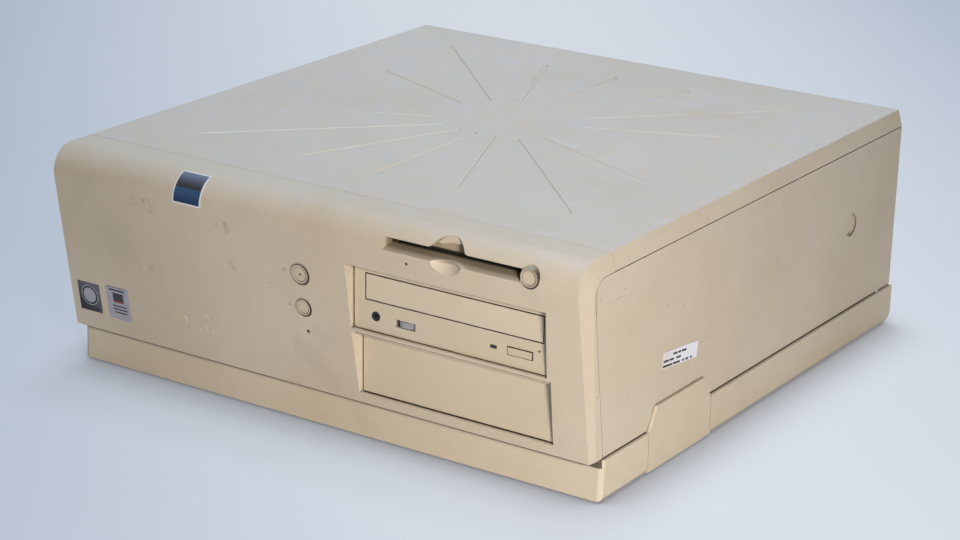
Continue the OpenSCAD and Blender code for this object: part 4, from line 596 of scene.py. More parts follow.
def bezel_shade_and_stains(tree, color):
    """Painted shade rings round the buttons, painted shade that deepens into the diskette recess with a dark
    painted shadow line at its slot, and a few stains.
    """
    color = gap_shade_rings(tree, color, RINGS, 0.75 * MM, 0.95)
    low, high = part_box("floppy_dust_flap")
    xyz = split_place(tree)
    past = RECESS_PAST_FLAP * MM
    in_recess = times(inside(xyz[0], low[0] - past, high[0] + past),
                      inside(xyz[2], RECESS_LOW * MM, RECESS_HIGH * MM))
    deep = minus(xyz[1], CAD_BOX[0][1] + 0.3 * MM)
    # painted shade: the recess darkens with depth
    recess_shade = times(fade(deep, 1.5 * MM, 7 * MM, 0.0, 0.75), in_recess)
    color = blend(recess_shade, color, RECESS_SHADE_OLIVE)
    # painted shadow: a dark line deep in the recess, at the slot
    slot_shadow = times(fade(deep, 9.6 * MM, 11.2 * MM, 0.0, 0.95), in_recess)
    color = blend(slot_shadow, color, PAINTED_SHADE_DARK)
    for x, y, z, radius, amount, grit in STAINS:
        color = use(tree, STAIN, Color=color, Stain=STAIN_BROWN, Middle=(x * MM, y * MM, z * MM),
                    Stretch=(0.6, 1, 1), Radius=radius * MM, Amount=amount, Grit=grit, From=0.4,
                    To=0.62)["Color"]
    for x, y, z, radius in CHIPS:
        color = use(tree, STAIN, Color=color, Stain=CHIP_PALE, Middle=(x * MM, y * MM, z * MM),
                    Radius=radius * MM, Amount=0.9, Grit=520.0, From=0.6, To=0.66)["Color"]
    return color


def zinc_steel(name):
    """Zinc-coated sheet steel."""
    material, tree, shader = new_material(name)
    base = srgb(178, 181, 184)
    crystals = use(tree, SPANGLE, Scale=210.0)["Tone"]
    lines = use(tree, ROLLED, Fineness=700.0)
    dark = darker(base, 0.72)
    cloudy = noise(object_place(tree), 160.0, 5.0, 0.7)
    tone = plus(times(crystals, 0.3), times(cloudy, 0.4))
    color = blend(fade(tone, 0.1, 0.6, 0.0, 0.55), base, dark)
    worn = use(tree, EDGE_WEAR, Color=color, Worn=srgb(215, 216, 216), Radius=0.6 * MM, Amount=0.5)
    dirty = use(tree, GRIME_AND_SEAM_SHADE, Color=worn["Color"], Dirt=srgb(70, 66, 60), Reach=6 * MM, Amount=0.4)
    dusty = use(tree, DUST, Color=dirty["Color"], Amount=0.1)
    rough_at = plus(fade(tone, 0.1, 0.6, 0.34, 0.52), times(dusty["Mask"], 0.5))
    finish(shader, dusty["Color"], rough_at, lines["Height"], 0.02 * MM, Metallic=0.9)
    return material


def smooth_metal(name, tone, rough, fineness=900.0, metallic=1.0):
    """Turned, drawn or brushed metal."""
    material, tree, shader = new_material(name)
    lines = use(tree, ROLLED, Fineness=fineness)
    base = srgb(*tone)
    dark = darker(base, 0.8)
    color = blend(lines["Tone"], dark, base)
    worn = use(tree, EDGE_WEAR, Color=color, Worn=srgb(225, 225, 223), Radius=0.4 * MM, Amount=0.3)
    dusty = use(tree, DUST, Color=worn["Color"], Amount=0.08)
    rough_at = fade(lines["Height"], 0.3, 0.7, *rough)
    finish(shader, dusty["Color"], rough_at, lines["Height"], 0.01 * MM, Metallic=metallic)
    return material


def dark_plastic(name, tone, rough=(0.35, 0.5), grain=1800.0, depth=0.03 * MM):
    """Black or coloured moulded plastic or rubber."""
    material, tree, shader = new_material(name)
    base = srgb(*tone)
    pale = [min(1.0, c * 2.2 + 0.02) for c in base[:3]] + [1]
    age = use(tree, AGEING, Fresh=base, Aged=darker(base, 0.75), Fineness=20.0, Amount=0.5, Mottle=0.15)
    used = use(tree, HANDLING, Color=age["Color"], Mark=pale, Scratches=0.15, Specks=0.1, Smudges=0.2)
    worn = use(tree, EDGE_WEAR, Color=used["Color"], Worn=pale, Radius=0.5 * MM, Amount=0.5)
    dusty = use(tree, DUST, Color=worn["Color"], Amount=0.15)
    bumps = use(tree, GRAIN, Scale=grain, Pits=0.4)
    rough_at = fade(used["Smudge"], 0.0, 0.25, rough[1], rough[0])
    finish(shader, dusty["Color"], rough_at, bumps["Height"], depth, IOR=1.5)
    return material


def make_board(name, axes, top=None, plate_from=None):
    """Green circuit board. axes are the two that lie in its plane. Above top it is black parts, and
    behind plate_from the steel of its rear plate."""
    material, tree, shader = new_material(name)
    xyz = split_place(tree)
    flat = add(tree, "CombineXYZ", {0: xyz[axes[0]], 1: xyz[axes[1]]}).outputs[0]
    copper = use(tree, TRACKS, Across=flat, Pitch=TRACK_PITCH)
    green, bright = srgb(28, 84, 52), srgb(48, 118, 74)
    color = blend(times(copper["Track"], 0.8), green, bright)
    color = blend(copper["Hole"], color, srgb(196, 190, 160))
    worn = use(tree, EDGE_WEAR, Color=color, Worn=srgb(150, 146, 96), Radius=0.4 * MM, Amount=0.7)
    color = worn["Color"]
    rough = minus(0.36, times(copper["Hole"], 0.1))
    if top is not None:
        above = calc("GREATER_THAN", xyz[2], top)
        black = use(tree, HANDLING, Color=srgb(30, 30, 32), Mark=srgb(90, 90, 90), Scratches=0.2)
        color = blend(above, color, black["Color"])
        rough = plus(rough, times(above, 0.14))
    if plate_from is not None:
        plate = calc("GREATER_THAN", xyz[1], plate_from)
        color = blend(plate, color, srgb(168, 171, 174))
        tree.links.new(times(plate, 0.9), shader.inputs["Metallic"])
    dusty = use(tree, DUST, Color=color, Amount=0.22)
    finish(shader, dusty["Color"], rough, copper["Track"], 0.04 * MM, IOR=1.5)
    return material


def make_badge():
    """A domed badge in two fields: a metal field painted with a reflection that goes from dark brown to
    blue-grey up the dome, over blue enamel that is darker towards its foot, inside a white outline that is
    partly a painted highlight along its rim.
    """
    material, tree, shader = new_material("badge_enamel")
    low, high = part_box("badge_plate")
    xyz = split_place(tree)
    middle_z = CAD_BOX[1][2] - ROUNDING * MM
    middle_y = low[1] + (ROUNDING + BADGE_PROUD) * MM
    arc = times(calc("ARCTAN2", minus(xyz[2], middle_z), minus(middle_y, xyz[1])), ROUNDING * MM)
    bottom, parting, top = (math.radians(a) * ROUNDING * MM for a in BADGE_TURNS)
    upper = calc("GREATER_THAN", arc, parting)
    near_edge = calc("MINIMUM", minus(xyz[0], low[0]), minus(high[0], xyz[0]))
    for gap in (minus(arc, bottom), minus(top, arc)):
        near_edge = calc("MINIMUM", near_edge, gap)
    # the white outline along the rim is partly a painted highlight
    outline = calc("LESS_THAN", near_edge, 1.0 * MM)
    enamel = blend(fade(arc, bottom, parting), srgb(8, 36, 72), srgb(20, 66, 104))
    # painted reflection: the metal field goes from dark brown at its foot to blue-grey at its head
    plate = blend(fade(arc, parting, top), srgb(46, 40, 38), srgb(112, 124, 146))
    color = blend(outline, blend(upper, enamel, plate), srgb(228, 228, 226))
    used = use(tree, HANDLING, Color=color, Mark=srgb(150, 150, 150), Scratches=0.5)
    metal = times(upper, minus(0.5, times(outline, 0.5)))
    tree.links.new(metal, shader.inputs["Metallic"])
    lines = use(tree, ROLLED, Fineness=1500.0)
    finish(shader, used["Color"], fade(metal, 0, 0.5, 0.3, 0.4), lines["Height"], 0.006 * MM,
           Coat_Weight=0.15, Coat_Roughness=0.2)
    return material


def printed_bars(color, across, up, bars, ink):
    """Plain bars of ink on a label, each from a left, right, bottom and top place in mm."""
    for left, right, bottom, top in bars:
        here = times(inside(across, left * MM, right * MM), inside(up, bottom * MM, top * MM))
        color = blend(here, color, ink)
    return color


def finish_label(shader, color, rough=0.42, metallic=0.0):
    """A label's scuffs, rubbed edges and fibres."""
    tree = shader.id_data
    used = use(tree, HANDLING, Color=color, Mark=srgb(120, 110, 95), Scratches=0.6, Specks=0.4, Smudges=0.5)
    worn = use(tree, EDGE_WEAR, Color=used["Color"], Worn=srgb(214, 208, 196), Radius=0.5 * MM, Amount=0.6)
    fibres = use(tree, GRAIN, Scale=2200.0, Pits=0.2)
    finish(shader, worn["Color"], rough, fibres["Height"], 0.01 * MM, Metallic=metallic)


def make_side_label():
    """A white paper label that has gone thin at its lower front, with three broken rules."""
    material, tree, shader = new_material("white_paper_label")
    _, across, up = from_corner(tree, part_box("side_label")[0])
    up = plus(up, times(across, math.tan(math.radians(LABEL_SLOPE))))
    worn_thin = minus(1.0, fade(across, 4 * MM, 24 * MM))
    paper = blend(times(worn_thin, 0.6), srgb(228, 228, 232), srgb(212, 200, 188))
    bars = [(left, right, bottom + 4.5, bottom + 6) for left, right, bottom in SIDE_RULES]
    finish_label(shader, printed_bars(paper, across, up, bars, srgb(30, 28, 30)))
    return material


def make_corner_labels():
    """Two foil labels side by side: a dark one with a ring, a silver one with a block and rules."""
    material, tree, shader = new_material("foil_labels")
    across, _, up = from_corner(tree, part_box("corner_labels")[0])
    # the dark label: its shaded field, and the disc and ring in it
    off_x, off_z = minus(across, 9.9 * MM), minus(up, 13.2 * MM)
    out = calc("SQRT", plus(times(off_x, off_x), times(off_z, off_z)))
    dark = blend(fade(plus(across, up), 6 * MM, 36 * MM), srgb(36, 28, 40), srgb(104, 100, 108))
    dark = blend(calc("LESS_THAN", out, 7.6 * MM), dark, srgb(168, 168, 172))
    dark = blend(inside(out, 5.6 * MM, 7.0 * MM), dark, srgb(34, 32, 36))
    dark = printed_bars(dark, across, up, [(2, 17.5, 2.4, 4.2)], srgb(44, 38, 44))
    # the silver label: a dark block with a red foot between thin rules
    ink, silver = srgb(58, 54, 60), srgb(172, 168, 176)
    for color, bars in ((ink, [(28, 44.5, 24.2, 24.9), (29, 43, 21.6, 22.9), (32, 41.5, 12.8, 20.2)]),
                        (srgb(150, 62, 58), [(32, 41.5, 12.8, 14.2)]),
                        (ink, [(31, 43.5, 9.6, 10.7), (31, 44, 7.2, 8.3), (32, 43, 4.8, 5.9)])):
        silver = printed_bars(silver, across, up, bars, color)
    right = calc("GREATER_THAN", across, 22.8 * MM)
    finish_label(shader, blend(right, dark, silver), 0.36, 0.25)
    return material


def make_lens(name, tone):
    """Coloured clear plastic over a light that is off."""
    material, tree, shader = new_material(name)
    swirl = noise(object_place(tree), 900.0, 3.0)
    color = blend(swirl, srgb(*tone), srgb(*[t * 0.7 for t in tone]))
    finish(shader, color, fade(swirl, 0.3, 0.7, 0.18, 0.3), swirl, 0.01 * MM, Coat_Weight=0.6,
           Transmission_Weight=0.15)
    return material


def make_ribbon():
    """Flat grey cable: parallel wires side by side with painted shade in the grooves between them, one edge
    marked red.
    """
    material, tree, shader = new_material("flat_cable")
    xyz = split_place(tree)
    wires = calc("PINGPONG", times(xyz[0], 1 / (WIRE_PITCH * MM)), 0.5)
    groove_height_and_shade = fade(wires, 0.0, 0.22)
    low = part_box("drive_ribbon")[0]
    marked = calc("LESS_THAN", xyz[0], low[0] + 5.4 * MM)
    # painted shade: the grooves between wires are darker
    color = blend(groove_height_and_shade, srgb(120, 122, 126), srgb(184, 186, 190))
    color = blend(times(marked, groove_height_and_shade), color, srgb(150, 60, 56))
    dusty = use(tree, DUST, Color=color, Amount=0.25)
    finish(shader, dusty["Color"], 0.45, groove_height_and_shade, 0.4 * MM)
    return material


top_plastic = moulded_plastic("aged_top_plastic", BEIGE, BEIGE_AGED, grime=0.1, wear=0.2, seam_shade=0.0,
                              dust=0.55)
side_plastic = moulded_plastic("aged_side_plastic", BEIGE, BEIGE_AGED, seam_shade=0.5, marks=side_plug_gap_shade)
bezel_plastic = moulded_plastic("aged_bezel_plastic", BEIGE, BEIGE_AGED, marks=bezel_shade_and_stains)
base_plastic = moulded_plastic("aged_base_plastic", srgb(210, 196, 173), srgb(199, 181, 151), amount=0.6,
                               specks=0.5, grime=0.35, marks=base_shade_under_bezel)
drive_plastic = moulded_plastic("drive_front_plastic", srgb(204, 190, 166), srgb(194, 176, 146), grain=2100.0,
                                depth=0.04 * MM, rough=(0.42, 0.54), amount=0.45, marks=drive_front_gap_shade)
door_plastic = moulded_plastic("tray_door_plastic", srgb(207, 194, 170), srgb(197, 180, 150), grain=2400.0,
                               depth=0.03 * MM, rough=(0.4, 0.5), amount=0.4, marks=drive_front_gap_shade)
# the dust flap's darker, more orange beige is painted shade for its place deep in the recess
flap_plastic_painted_shade = moulded_plastic("diskette_flap_painted_shade_plastic", srgb(178, 162, 136), srgb(160, 140, 108),
                                 amount=0.5, grime=0.9, marks=flap_edge_shade)
tray_plastic = moulded_plastic("tray_plastic", srgb(176, 170, 158), srgb(160, 152, 138), amount=0.3, dust=0.2)
pressed_often = dict(fresh=BUTTON_BEIGE, aged=BUTTON_AGED, grain=2200.0, depth=0.03 * MM, rough=(0.34, 0.5),
                     wear=0.6, grime=0.7)
button_plastic = moulded_plastic("button_plastic", smudges=0.6, marks=button_ring_shade, **pressed_often)
drive_button_plastic = moulded_plastic("drive_button_plastic", marks=drive_front_gap_shade, **pressed_often)
black_plastic = dark_plastic("black_plastic", (28, 28, 30))
rubber = dark_plastic("rubber", (34, 33, 32), rough=(0.7, 0.85), grain=900.0, depth=0.08 * MM)
grey_plastic = dark_plastic("grey_wheel_plastic", (150, 148, 150), grain=2600.0, depth=0.02 * MM)
green_plastic = dark_plastic("green_socket_plastic", (60, 128, 92))
violet_plastic = dark_plastic("violet_socket_plastic", (98, 74, 140))
white_plastic = dark_plastic("white_socket_plastic", (206, 203, 194))
brown_ceramic = dark_plastic("brown_ceramic", (122, 100, 76), rough=(0.3, 0.45))
red_plastic = dark_plastic("red_plastic", (150, 34, 28))
sheet_steel = zinc_steel("zinc_sheet_steel")
dark_steel = smooth_metal("painted_dark_steel", (96, 98, 101), rough=(0.4, 0.55), metallic=0.8)
cast_metal = smooth_metal("cast_aluminium", (150, 152, 154), rough=(0.4, 0.55), fineness=400.0)
bright_metal = smooth_metal("bright_nickel", (196, 196, 194), rough=(0.18, 0.32))
fin_metal = smooth_metal("black_anodised_fins", (74, 76, 80), rough=(0.32, 0.46), fineness=600.0,
                         metallic=0.85)
brass = smooth_metal("brass", (190, 158, 84), rough=(0.25, 0.4))
yellow_cable = dark_plastic("cable_sleeve", (176, 140, 34), rough=(0.4, 0.55))

CARD_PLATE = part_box("expansion_card")[1][1] - 1.05 * MM  # front face of the card's rear plate
EVERY_FINISH = {
    bezel_plastic: "front_bezel",
    top_plastic: "top_panel",
    side_plastic: "side_panel_left side_panel_right side_plug",
    base_plastic: "base_plinth release_button_left release_button_right",
    drive_plastic: "cd_faceplate bay_insert",
    door_plastic: "cd_tray_door",
    flap_plastic_painted_shade: "floppy_dust_flap",
    tray_plastic: "cd_tray",
    button_plastic: "power_button reset_button floppy_eject_button",
    drive_button_plastic: "cd_eject_button",
    grey_plastic: "cd_volume_wheel",
    black_plastic: "floppy_fascia floppy_eject_key cd_headphone_jack ac_inlet memory_modules "
                   "processor_cartridge case_fan_frame case_fan_rotor psu_fan_rotor",
    rubber: "rubber_feet speaker",
    red_plastic: "voltage_selector",
    sheet_steel: "chassis_tray rear_panel drive_cage cover_shell psu_case cd_case hard_drive_bracket "
                 "slot_covers riser_bracket",
    dark_steel: "floppy_case cd_spindle",
    cast_metal: "hard_drive",
    bright_metal: "psu_fan_guard rear_ports cover_hinge_pins clock_battery",
    fin_metal: "heat_sink",
    brass: "board_standoffs",
    yellow_cable: "power_harness",
    make_board("main_circuit_board", (0, 1), (BOARD + 0.05) * MM): "main_board",
    make_board("riser_circuit_board", (1, 2)): "riser_board",
    make_board("card_circuit_board", (0, 1), plate_from=CARD_PLATE): "expansion_card",
    make_board("button_circuit_board", (0, 2)): "control_board",
    make_badge(): "badge_plate",
    make_lens("unlit_green_lens", (30, 34, 26)): "power_light light_lenses",
    make_lens("unlit_amber_lens", (30, 26, 20)): "cd_light_lens",
    make_ribbon(): "drive_ribbon",
    make_side_label(): "side_label",
    make_corner_labels(): "corner_labels",
}
for material, names in EVERY_FINISH.items():
    for name in names.split():
        CAD[name].data.materials.clear()
        CAD[name].data.materials.append(material)


# ---- Softened edges ----

def round_edges(piece, width):
    """A narrow rounding along the sharp edges of a piece."""
    edge = piece.modifiers.new("soft_edges", "BEVEL")
    edge.width = width
    edge.segments = 2
    edge.limit_method = "ANGLE"
    edge.angle_limit = SHARP
    return edge


def soften(names, width):
    """The edges of moulded pieces, soft as the tool leaves them."""
    for name in names.split():
        piece = CAD[name]
        piece.modifiers.new("join_faces", "WELD").merge_threshold = 1e-6
        round_edges(piece, width).harden_normals = True
        even = piece.modifiers.new("even_shading", "WEIGHTED_NORMAL")
        even.mode = "FACE_AREA"
        even.weight = 80
        even.keep_sharp = True


soften("front_bezel top_panel side_panel_left side_panel_right base_plinth release_button_left "
       "release_button_right bay_insert power_button reset_button floppy_eject_button", 0.35 * MM)
soften("cd_tray_door cd_eject_button", 0.12 * MM)


# ---- Small fittings, in millimetres ----

SCREW_HEAD = ((4.0, 0), (4.0, 0.5), (3.2, 0.6), (3.1, 1.5), (2.6, 2.1), (2.1, 2.25))  # radius, height
CROSS_ARM, CROSS_HALF, CROSS_FLOOR, CROSS_TAPER = 1.55, 0.36, 1.1, 0.7
# screws, by x and z on the back, and by x and y on the supply and the disk
SLOT_SCREWS = [(-24.5, SLOT_FIRST + SLOT_PITCH * i) for i in range(4)]
SUPPLY_SCREWS = ((72, 80), (197, 80), (72, 206), (197, 206))
DISK_SCREWS = [(x, y) for x in (-187, -141, -95.5) for y in (-172, -45)]
REAR_SCREWS = ((72, 85), (197, 85), (72, 12), (197, 12), (-20, 30), (20, 14), (-198, 30), (-198, 120),
               (198, 140), (-60, 144), (60, 144))
VENT_COLUMNS, VENT_TOP, VENT_STEP = (-2, 28, 58, 88), 138, 9
# middles of the sockets, from the left end of their housing
SERIAL_AT, PARALLEL_AT, NETWORK_AT, ROUND_AT = (69, 106), 86, 40, 8
ROUND_PINS = (20, 60, 120, 160, 250, 290)  # degrees round the keyboard and mouse sockets
BLADES = ((171, 29.6), (178, 34.1), (185, 29.6))  # of the mains inlet: x, z
# capacitors: x, y, radius, height
CAPACITORS = ((-164, 52, 5, 16), (-150, 52, 5, 16), (-136, 52, 5, 16), (-120, 68, 4, 11), (-108, 68, 4, 11),
              (-60, 150, 4, 11), (-60, 162, 4, 11), (-44, 190, 3.2, 8), (40, 130, 5, 18), (52, 130, 5, 18),
              (46, 60, 3.2, 8), (-180, 190, 3.2, 8), (-20, 30, 3.2, 8), (34, 20, 4, 11))
# ground on the main board that bigger pieces take up: left, right, front, back
TAKEN = ((-40, -8, 0, 300), (-200, 10, 190, 300), (-200, -50, 0, 68), (-16, 34, 0, 128))
SMALL_PARTS = 130


def beside(place, u, v, along, axis):
    """A point off a place: along its axis, and u and v across it."""
    off = (u, along, v) if axis == "y" else (u, v, along)
    return [p + o for p, o in zip(place, off)]


def join_rings(build, below, above):
    """Faces between two rings of points."""
    for i in range(len(below)):
        j = (i + 1) % len(below)
        build.faces.new((below[i], below[j], above[j], above[i]))


def turned(build, profile, place, axis="y", sides=20, closed=True):
    """A turned shape from its radius and height pairs, standing on a place; its last ring of points."""
    levels = []
    for radius, along in profile:
        level = []
        for i in range(sides):
            a = 2 * math.pi * (i + 0.5) / sides
            point = beside(place, radius * math.cos(a), radius * math.sin(a), along, axis)
            level.append(build.verts.new(point))
        levels.append(level)
    for below, above in zip(levels, levels[1:]):
        join_rings(build, below, above)
    build.faces.new(levels[0])
    if closed:
        build.faces.new(levels[-1])
    return levels[-1]


def block(build, low, high):
    """A block with square corners, as part of a bigger piece."""
    x, y, z = zip(low, high)
    corners = [build.verts.new((x[i], y[j], z[k])) for i in (0, 1) for j in (0, 1) for k in (0, 1)]
    for face in ((0, 1, 3, 2), (4, 6, 7, 5), (0, 4, 5, 1), (2, 3, 7, 6), (0, 2, 6, 4), (1, 5, 7, 3)):
        build.faces.new([corners[n] for n in face])


def crossed_screw(build, place, axis="y", size=1.0):
    """A pan head on a washer face, with a sunk cross."""
    rim = turned(build, [(r * size, h * size) for r, h in SCREW_HEAD], place, axis, closed=False)
    arm, half = CROSS_ARM * size, CROSS_HALF * size
    outline = ((half, half), (half, arm), (-half, arm), (-half, half), (-arm, half), (-arm, -half),
               (-half, -half), (-half, -arm), (half, -arm), (half, -half), (arm, -half), (arm, half))
    mouth, floor = ([build.verts.new(beside(place, u * narrow, v * narrow, height * size, axis))
                     for u, v in outline]
                    for height, narrow in ((SCREW_HEAD[-1][1], 1.0), (CROSS_FLOOR, CROSS_TAPER)))
    join_rings(build, mouth, floor)
    build.faces.new(floor)
    edges = [build.edges.get(pair) or build.edges.new(pair)
             for ring in (rim, mouth) for pair in zip(ring, ring[1:] + ring[:1])]
    bmesh.ops.triangle_fill(build, use_beauty=True, use_dissolve=False, edges=edges)


def louvre(build, x, y, z, width=24, height=4.5, rise=2.0, steps=8):
    """A pressed hood on an upright sheet, open below."""
    rows = []
    for j in range(steps + 1):
        down = j / steps
        row = []
        for i in range(2 * steps + 1):
            along = i / steps - 1
            out = rise * math.sin(down * math.pi / 2) * (1 - abs(along) ** 6)
            row.append(build.verts.new((x + along * width / 2, y + out, z - down * height)))
        rows.append(row)
    lip = [build.verts.new((v.co.x, max(y, v.co.y - 0.7), v.co.z)) for v in rows[-1]]
    under = [build.verts.new((v.co.x, y - 0.2, v.co.z + height * 0.5)) for v in rows[-1]]
    for below, above in zip(rows + [lip], rows[1:] + [lip, under]):
        for i in range(2 * steps):
            build.faces.new((below[i], below[i + 1], above[i + 1], above[i]))


def in_row(count, middle, pitch):
    """Evenly spaced places about a middle."""
    return [middle + (i - (count - 1) / 2) * pitch for i in range(count)]


def fitting(name, build, material, rounding=0.0):
    """Turns a mesh built in millimetres into a piece that rides on the chassis."""
    bmesh.ops.scale(build, vec=(MM, MM, MM), verts=build.verts)
    bmesh.ops.recalc_face_normals(build, faces=build.faces)
    mesh = mesh_of(name, build)
    mesh.polygons.foreach_set("use_smooth", [True] * len(mesh.polygons))
    mesh.set_sharp_from_angle(angle=SHARP)
    piece = placed(name, mesh)
    mesh.materials.append(material)
    if rounding:
        round_edges(piece, rounding)
    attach(piece, "chassis")


def rear_screws_and_vents():
    """Screws of the supply, the panel and the slot covers, and four columns of vents."""
    build = bmesh.new()
    for x, z in REAR_SCREWS:
        crossed_screw(build, (x, PANEL_OUT, z))
    for x, z in SLOT_SCREWS:
        crossed_screw(build, (x, PANEL_OUT, z), size=0.9)
    fitting("rear_screws", build, bright_metal)
    build = bmesh.new()
    for row in range(5):
        for x in VENT_COLUMNS:
            louvre(build, x, PANEL_OUT, VENT_TOP - row * VENT_STEP)
    fitting("vent_louvres", build, sheet_steel)


def flat_sockets():
    """The pins of the two small sockets, and the insert of the wide one with its holes."""
    build = bmesh.new()
    for at in SERIAL_AT:
        for row, count in ((1.4, 5), (-1.4, 4)):
            for x in in_row(count, PORTS + at, PIN_PITCH):
                turned(build, [(0.5, 0), (0.5, 4.2), (0.3, 4.9)], (x, PANEL_OUT - 2.05, BOARD + 6.5 + row),
                       sides=10)
    fitting("serial_pins", build, brass)
    build = bmesh.new()
    middle, up, face = PORTS + PARALLEL_AT, BOARD + 20, PANEL_OUT + 2.2
    for foot, head, half in ((up, up + 3.1, 18.4), (up - 3.1, up, 17.3)):
        block(build, (middle - half, PANEL_OUT - 2.0, foot), (middle + half, face, head))
    fitting("parallel_insert", build, white_plastic, 0.15)
    build = bmesh.new()
    for row, count in ((1.4, 13), (-1.4, 12)):
        for x in in_row(count, middle, PIN_PITCH):
            turned(build, [(0.95, 0), (0.95, 0.12), (0.6, 0.12), (0.6, 0.02)], (x, face, up + row), sides=12)
    fitting("parallel_holes", build, black_plastic)


def round_sockets():
    """The inserts of the keyboard and mouse sockets."""
    for name, height, material in (("keyboard_insert", 6.8, violet_plastic),
                                   ("mouse_insert", 19.2, green_plastic)):
        build = bmesh.new()
        x, z = PORTS + ROUND_AT, BOARD + height
        turned(build, [(4.5, 0), (4.5, 5.2), (4.2, 5.6), (3.9, 5.6), (3.9, 3.2)], (x, PANEL_OUT - 7, z),
               sides=32)
        block(build, (x - 0.9, PANEL_OUT - 4, z - 1.4), (x + 0.9, PANEL_OUT - 1.2, z + 0.4))
        for turn in ROUND_PINS:
            a = math.radians(turn)
            turned(build, [(0.45, 0), (0.45, 1.2), (0.25, 1.4)],
                   (x + 2.6 * math.cos(a), PANEL_OUT - 3.8, z + 2.6 * math.sin(a)), sides=8)
        fitting(name, build, material, 0.1)


def contacts_and_blades():
    """The contacts of the network socket and the blades of the mains inlet."""
    build = bmesh.new()
    for x in in_row(8, PORTS + NETWORK_AT, CONTACT_PITCH):
        block(build, (x - 0.25, PANEL_OUT - 9, BOARD + 9.6), (x + 0.25, PANEL_OUT - 1.5, BOARD + 10.0))
        block(build, (x - 0.25, PANEL_OUT - 9.4, BOARD + 4.5), (x + 0.25, PANEL_OUT - 9, BOARD + 10.0))
    fitting("network_contacts", build, brass)
    build = bmesh.new()
    for x, z in BLADES:
        block(build, (x - 1.15, 197.5, z - 2.15), (x + 1.15, 208.7, z + 2.15))
    fitting("inlet_blades", build, bright_metal, 0.4)


def capacitors():
    """Sleeved cans on the main board, with bare metal tops."""
    cans, tops = bmesh.new(), bmesh.new()
    for x, y, radius, height in CAPACITORS:
        turned(cans, [(radius - 0.3, 0), (radius - 0.3, 0.8), (radius, 1.4), (radius, height - 1.5),
                      (radius - 0.4, height - 0.6), (radius - 0.5, height - 0.2)], (x, y, BOARD), "z", 24)
        turned(tops, [(radius - 0.8, 0), (radius - 0.9, 0.25)], (x, y, BOARD + height - 0.2), "z", 24)
    fitting("capacitor_sleeves", cans, black_plastic)
    fitting("capacitor_tops", tops, bright_metal)


def chip_legs():
    """Legs along all four sides of each chip."""
    build = bmesh.new()
    for x, y, wide, deep in CHIP_PLACES:
        for along, across, start, side, swap in ((wide, deep, x, y, 1), (deep, wide, y, x, -1)):
            count = int((along - 3) / WIRE_PITCH) + 1
            for at in in_row(count, start + along / 2, WIRE_PITCH):
                for out in (side - 1.5, side + across):
                    low, high = (at - 0.22, out)[::swap], (at + 0.22, out + 1.5)[::swap]
                    block(build, (*low, BOARD), (*high, BOARD + 0.5))
    fitting("chip_legs", build, bright_metal)


def small_board_parts():
    """Small parts strewn over the main board, clear of everything bigger."""
    chance = random.Random(7)
    build = bmesh.new()
    taken = TAKEN + tuple((x - 5, x + wide + 4, y - 5, y + deep + 4) for x, y, wide, deep in CHIP_PLACES)
    while len(build.faces) < 6 * SMALL_PARTS:
        x, y = chance.uniform(-184, 54), chance.uniform(30, 205)
        wide, deep = (3.0, 1.5) if chance.random() < 0.5 else (1.5, 3.0)
        if not any(left < x < right and front < y < back for left, right, front, back in taken):
            block(build, (x, y, BOARD), (x + wide, y + deep, BOARD + 0.8))
    fitting("small_board_parts", build, brown_ceramic, 0.2)


def printed_label(name, low, high, up, bars):
    """A plain paper label lying on a metal case, with ruled bars."""
    material, tree, shader = new_material(name + "_paper")
    across, along = from_corner(tree, [start * MM for start in low])
    finish_label(shader, printed_bars(srgb(214, 212, 204), across, along, bars, srgb(52, 52, 58)))
    build = bmesh.new()
    block(build, (*low, up), (*high, up + 0.12))
    fitting(name, build, material, 0.03)


def inner_labels_and_screws():
    """Ruled labels and screws on the supply and the hard disk. A rule is left, right, bottom and top."""
    supply_top, disk_top = (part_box(node)[1][2] / MM for node in ("psu_case", "hard_drive"))
    rows = [(5, 85, 60, 61), (5, 85, 12, 13), (5, 6, 12, 61), (84, 85, 12, 61), (40, 40.6, 12, 61)]
    rows += [(8, 34 - (i % 3) * 5, 18 + 6 * i, 20 + 6 * i) for i in range(7)]
    rows += [(44, 78 - (i % 2) * 9, 18 + 6 * i, 20 + 6 * i) for i in range(7)]
    printed_label("supply_label", (90, 100), (180, 168), 91.61, rows)
    rows = [(4, 56, 70, 73), (4, 40, 64, 65.6), (4, 46, 59, 60.6), (4, 34, 54, 55.6)]
    rows += [(4 + 2.4 * i, 5.2 + 2.4 * i + (i % 3) * 0.5, 8, 18) for i in range(20)]
    printed_label("disk_label", (-171, -140), (-111, -60), disk_top + 0.01, rows)
    build = bmesh.new()
    for x, y in SUPPLY_SCREWS:
        crossed_screw(build, (x, y, supply_top), "z", 0.8)
    for x, y in DISK_SCREWS:
        crossed_screw(build, (x, y, disk_top), "z", 0.7)
    fitting("case_screws", build, bright_metal)


rear_screws_and_vents()
flat_sockets()
round_sockets()
contacts_and_blades()
capacitors()
chip_legs()
small_board_parts()
inner_labels_and_screws()


# ---- Floor, room and lamps ----

FLOOR_RADIUS = 14
# the painted pool of light on the floor, a paler path: the way across it, how far it lies off, where it
# starts and ends to fade
LIT_PATH_ACROSS, LIT_PATH_OFF, LIT_PATH_FADE = (0.76, 0.65, 0), 0.14, (0.05, 0.75)
SHADOW_REACH = 0.05
# name, place, target, size, power, colour and spread
LAMPS = (("key_lamp", (1.1, -1.1, 0.54), (0.25, -0.25, 0.08), 0.28, 4.6, (1.0, 0.95, 0.905), 85),
         ("top_lamp", (-0.2, 0.35, 2.0), (-0.05, 0, 0), 0.6, 24, (0.7, 0.82, 1.0), 180),
         ("back_lamp", (-0.9, 1.7, 1.4), (0, 0, 0), 1.2, 7, (0.86, 0.92, 1.0), 180))


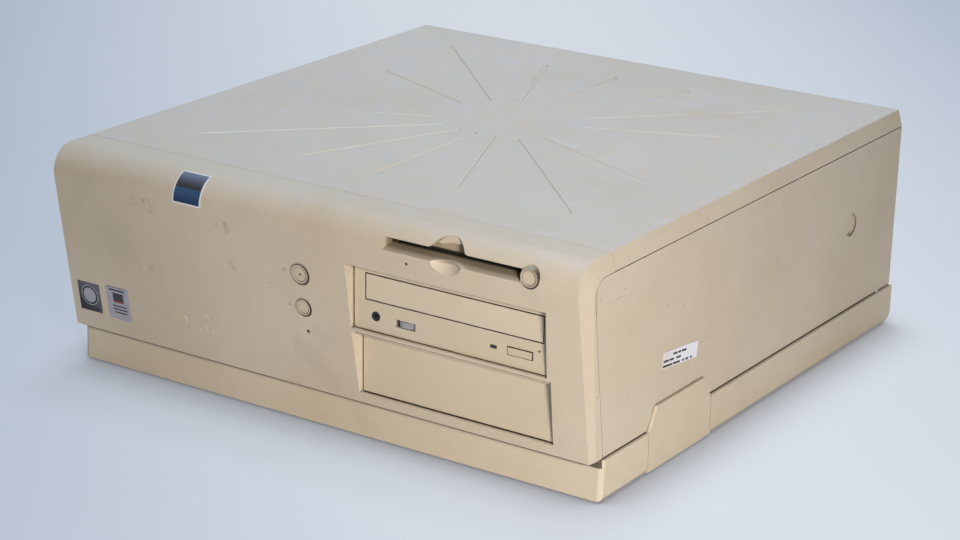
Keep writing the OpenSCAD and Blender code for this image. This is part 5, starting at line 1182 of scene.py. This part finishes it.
def seen_directly(tree):
    """1 for rays of the camera and of mirror-like or clear surfaces, 0 for rays that carry light."""
    path = add(tree, "LightPath").outputs
    mirrored = calc("MAXIMUM", path["Is Glossy Ray"], path["Is Transmission Ray"])
    return calc("MAXIMUM", path["Is Camera Ray"], mirrored)


def make_floor():
    """A wide pale sheet of paper that glows where seen directly, palest in a painted pool of light along a
    soft path under the object, and with a painted shadow where the object is near.
    """
    build = bmesh.new()
    bmesh.ops.create_circle(build, cap_ends=True, radius=FLOOR_RADIUS, segments=96)
    mesh = mesh_of("floor", build)
    floor = placed("floor", mesh)
    material, tree, shader = new_material("floor_paper")
    finish(shader, srgb(208, 213, 220), 0.9, Specular_IOR_Level=0.1)
    across = vector("DOT_PRODUCT", object_place(tree), LIT_PATH_ACROSS)
    off_path = calc("ABSOLUTE", minus(across, LIT_PATH_OFF))
    # painted pool of light along the path
    paper = blend(fade(off_path, *LIT_PATH_FADE), PAINTED_LIGHT_PALE, PAPER_OUT_OF_PAINTED_LIGHT)
    open_air = add(tree, "AmbientOcclusion", {"Distance": SHADOW_REACH}, samples=12).outputs["AO"]
    # painted shadow where ambient occlusion finds the object near
    paper = blend(fade(open_air, 1.0, 0.25, 0.0, 0.75), paper, PAINTED_SHADOW_DARK)
    glow = add(tree, "Emission", {"Color": paper, "Strength": 1.0}).outputs[0]
    shaded = add(tree, "MixShader", {0: PAPER_SHADE, 1: glow, 2: shader.outputs[0]}).outputs[0]
    looks = add(tree, "MixShader", {0: seen_directly(tree), 1: shader.outputs[0], 2: shaded}).outputs[0]
    tree.links.new(looks, tree.nodes["Material Output"].inputs["Surface"])
    mesh.materials.append(material)


def light_the_room():
    """A pale room that gives a little light, and the lamps."""
    world = bpy.data.worlds.new("room")
    bpy.context.scene.world = world
    world.use_nodes = True
    tree = world.node_tree
    ambient = tree.nodes["Background"]
    ambient.inputs["Color"].default_value = ROOM_COLOR
    ambient.inputs["Strength"].default_value = ROOM_LIGHT
    backdrop = add(tree, "Background", {"Color": BACKDROP, "Strength": 1.0}).outputs[0]
    looks = add(tree, "MixShader", {0: seen_directly(tree), 1: ambient.outputs[0], 2: backdrop}).outputs[0]
    tree.links.new(looks, tree.nodes["World Output"].inputs["Surface"])
    for lamp in LAMPS:
        place_lamp(*lamp)


make_floor()
light_the_room()
place_camera()
bpy.context.scene.view_settings.view_transform = "Standard"
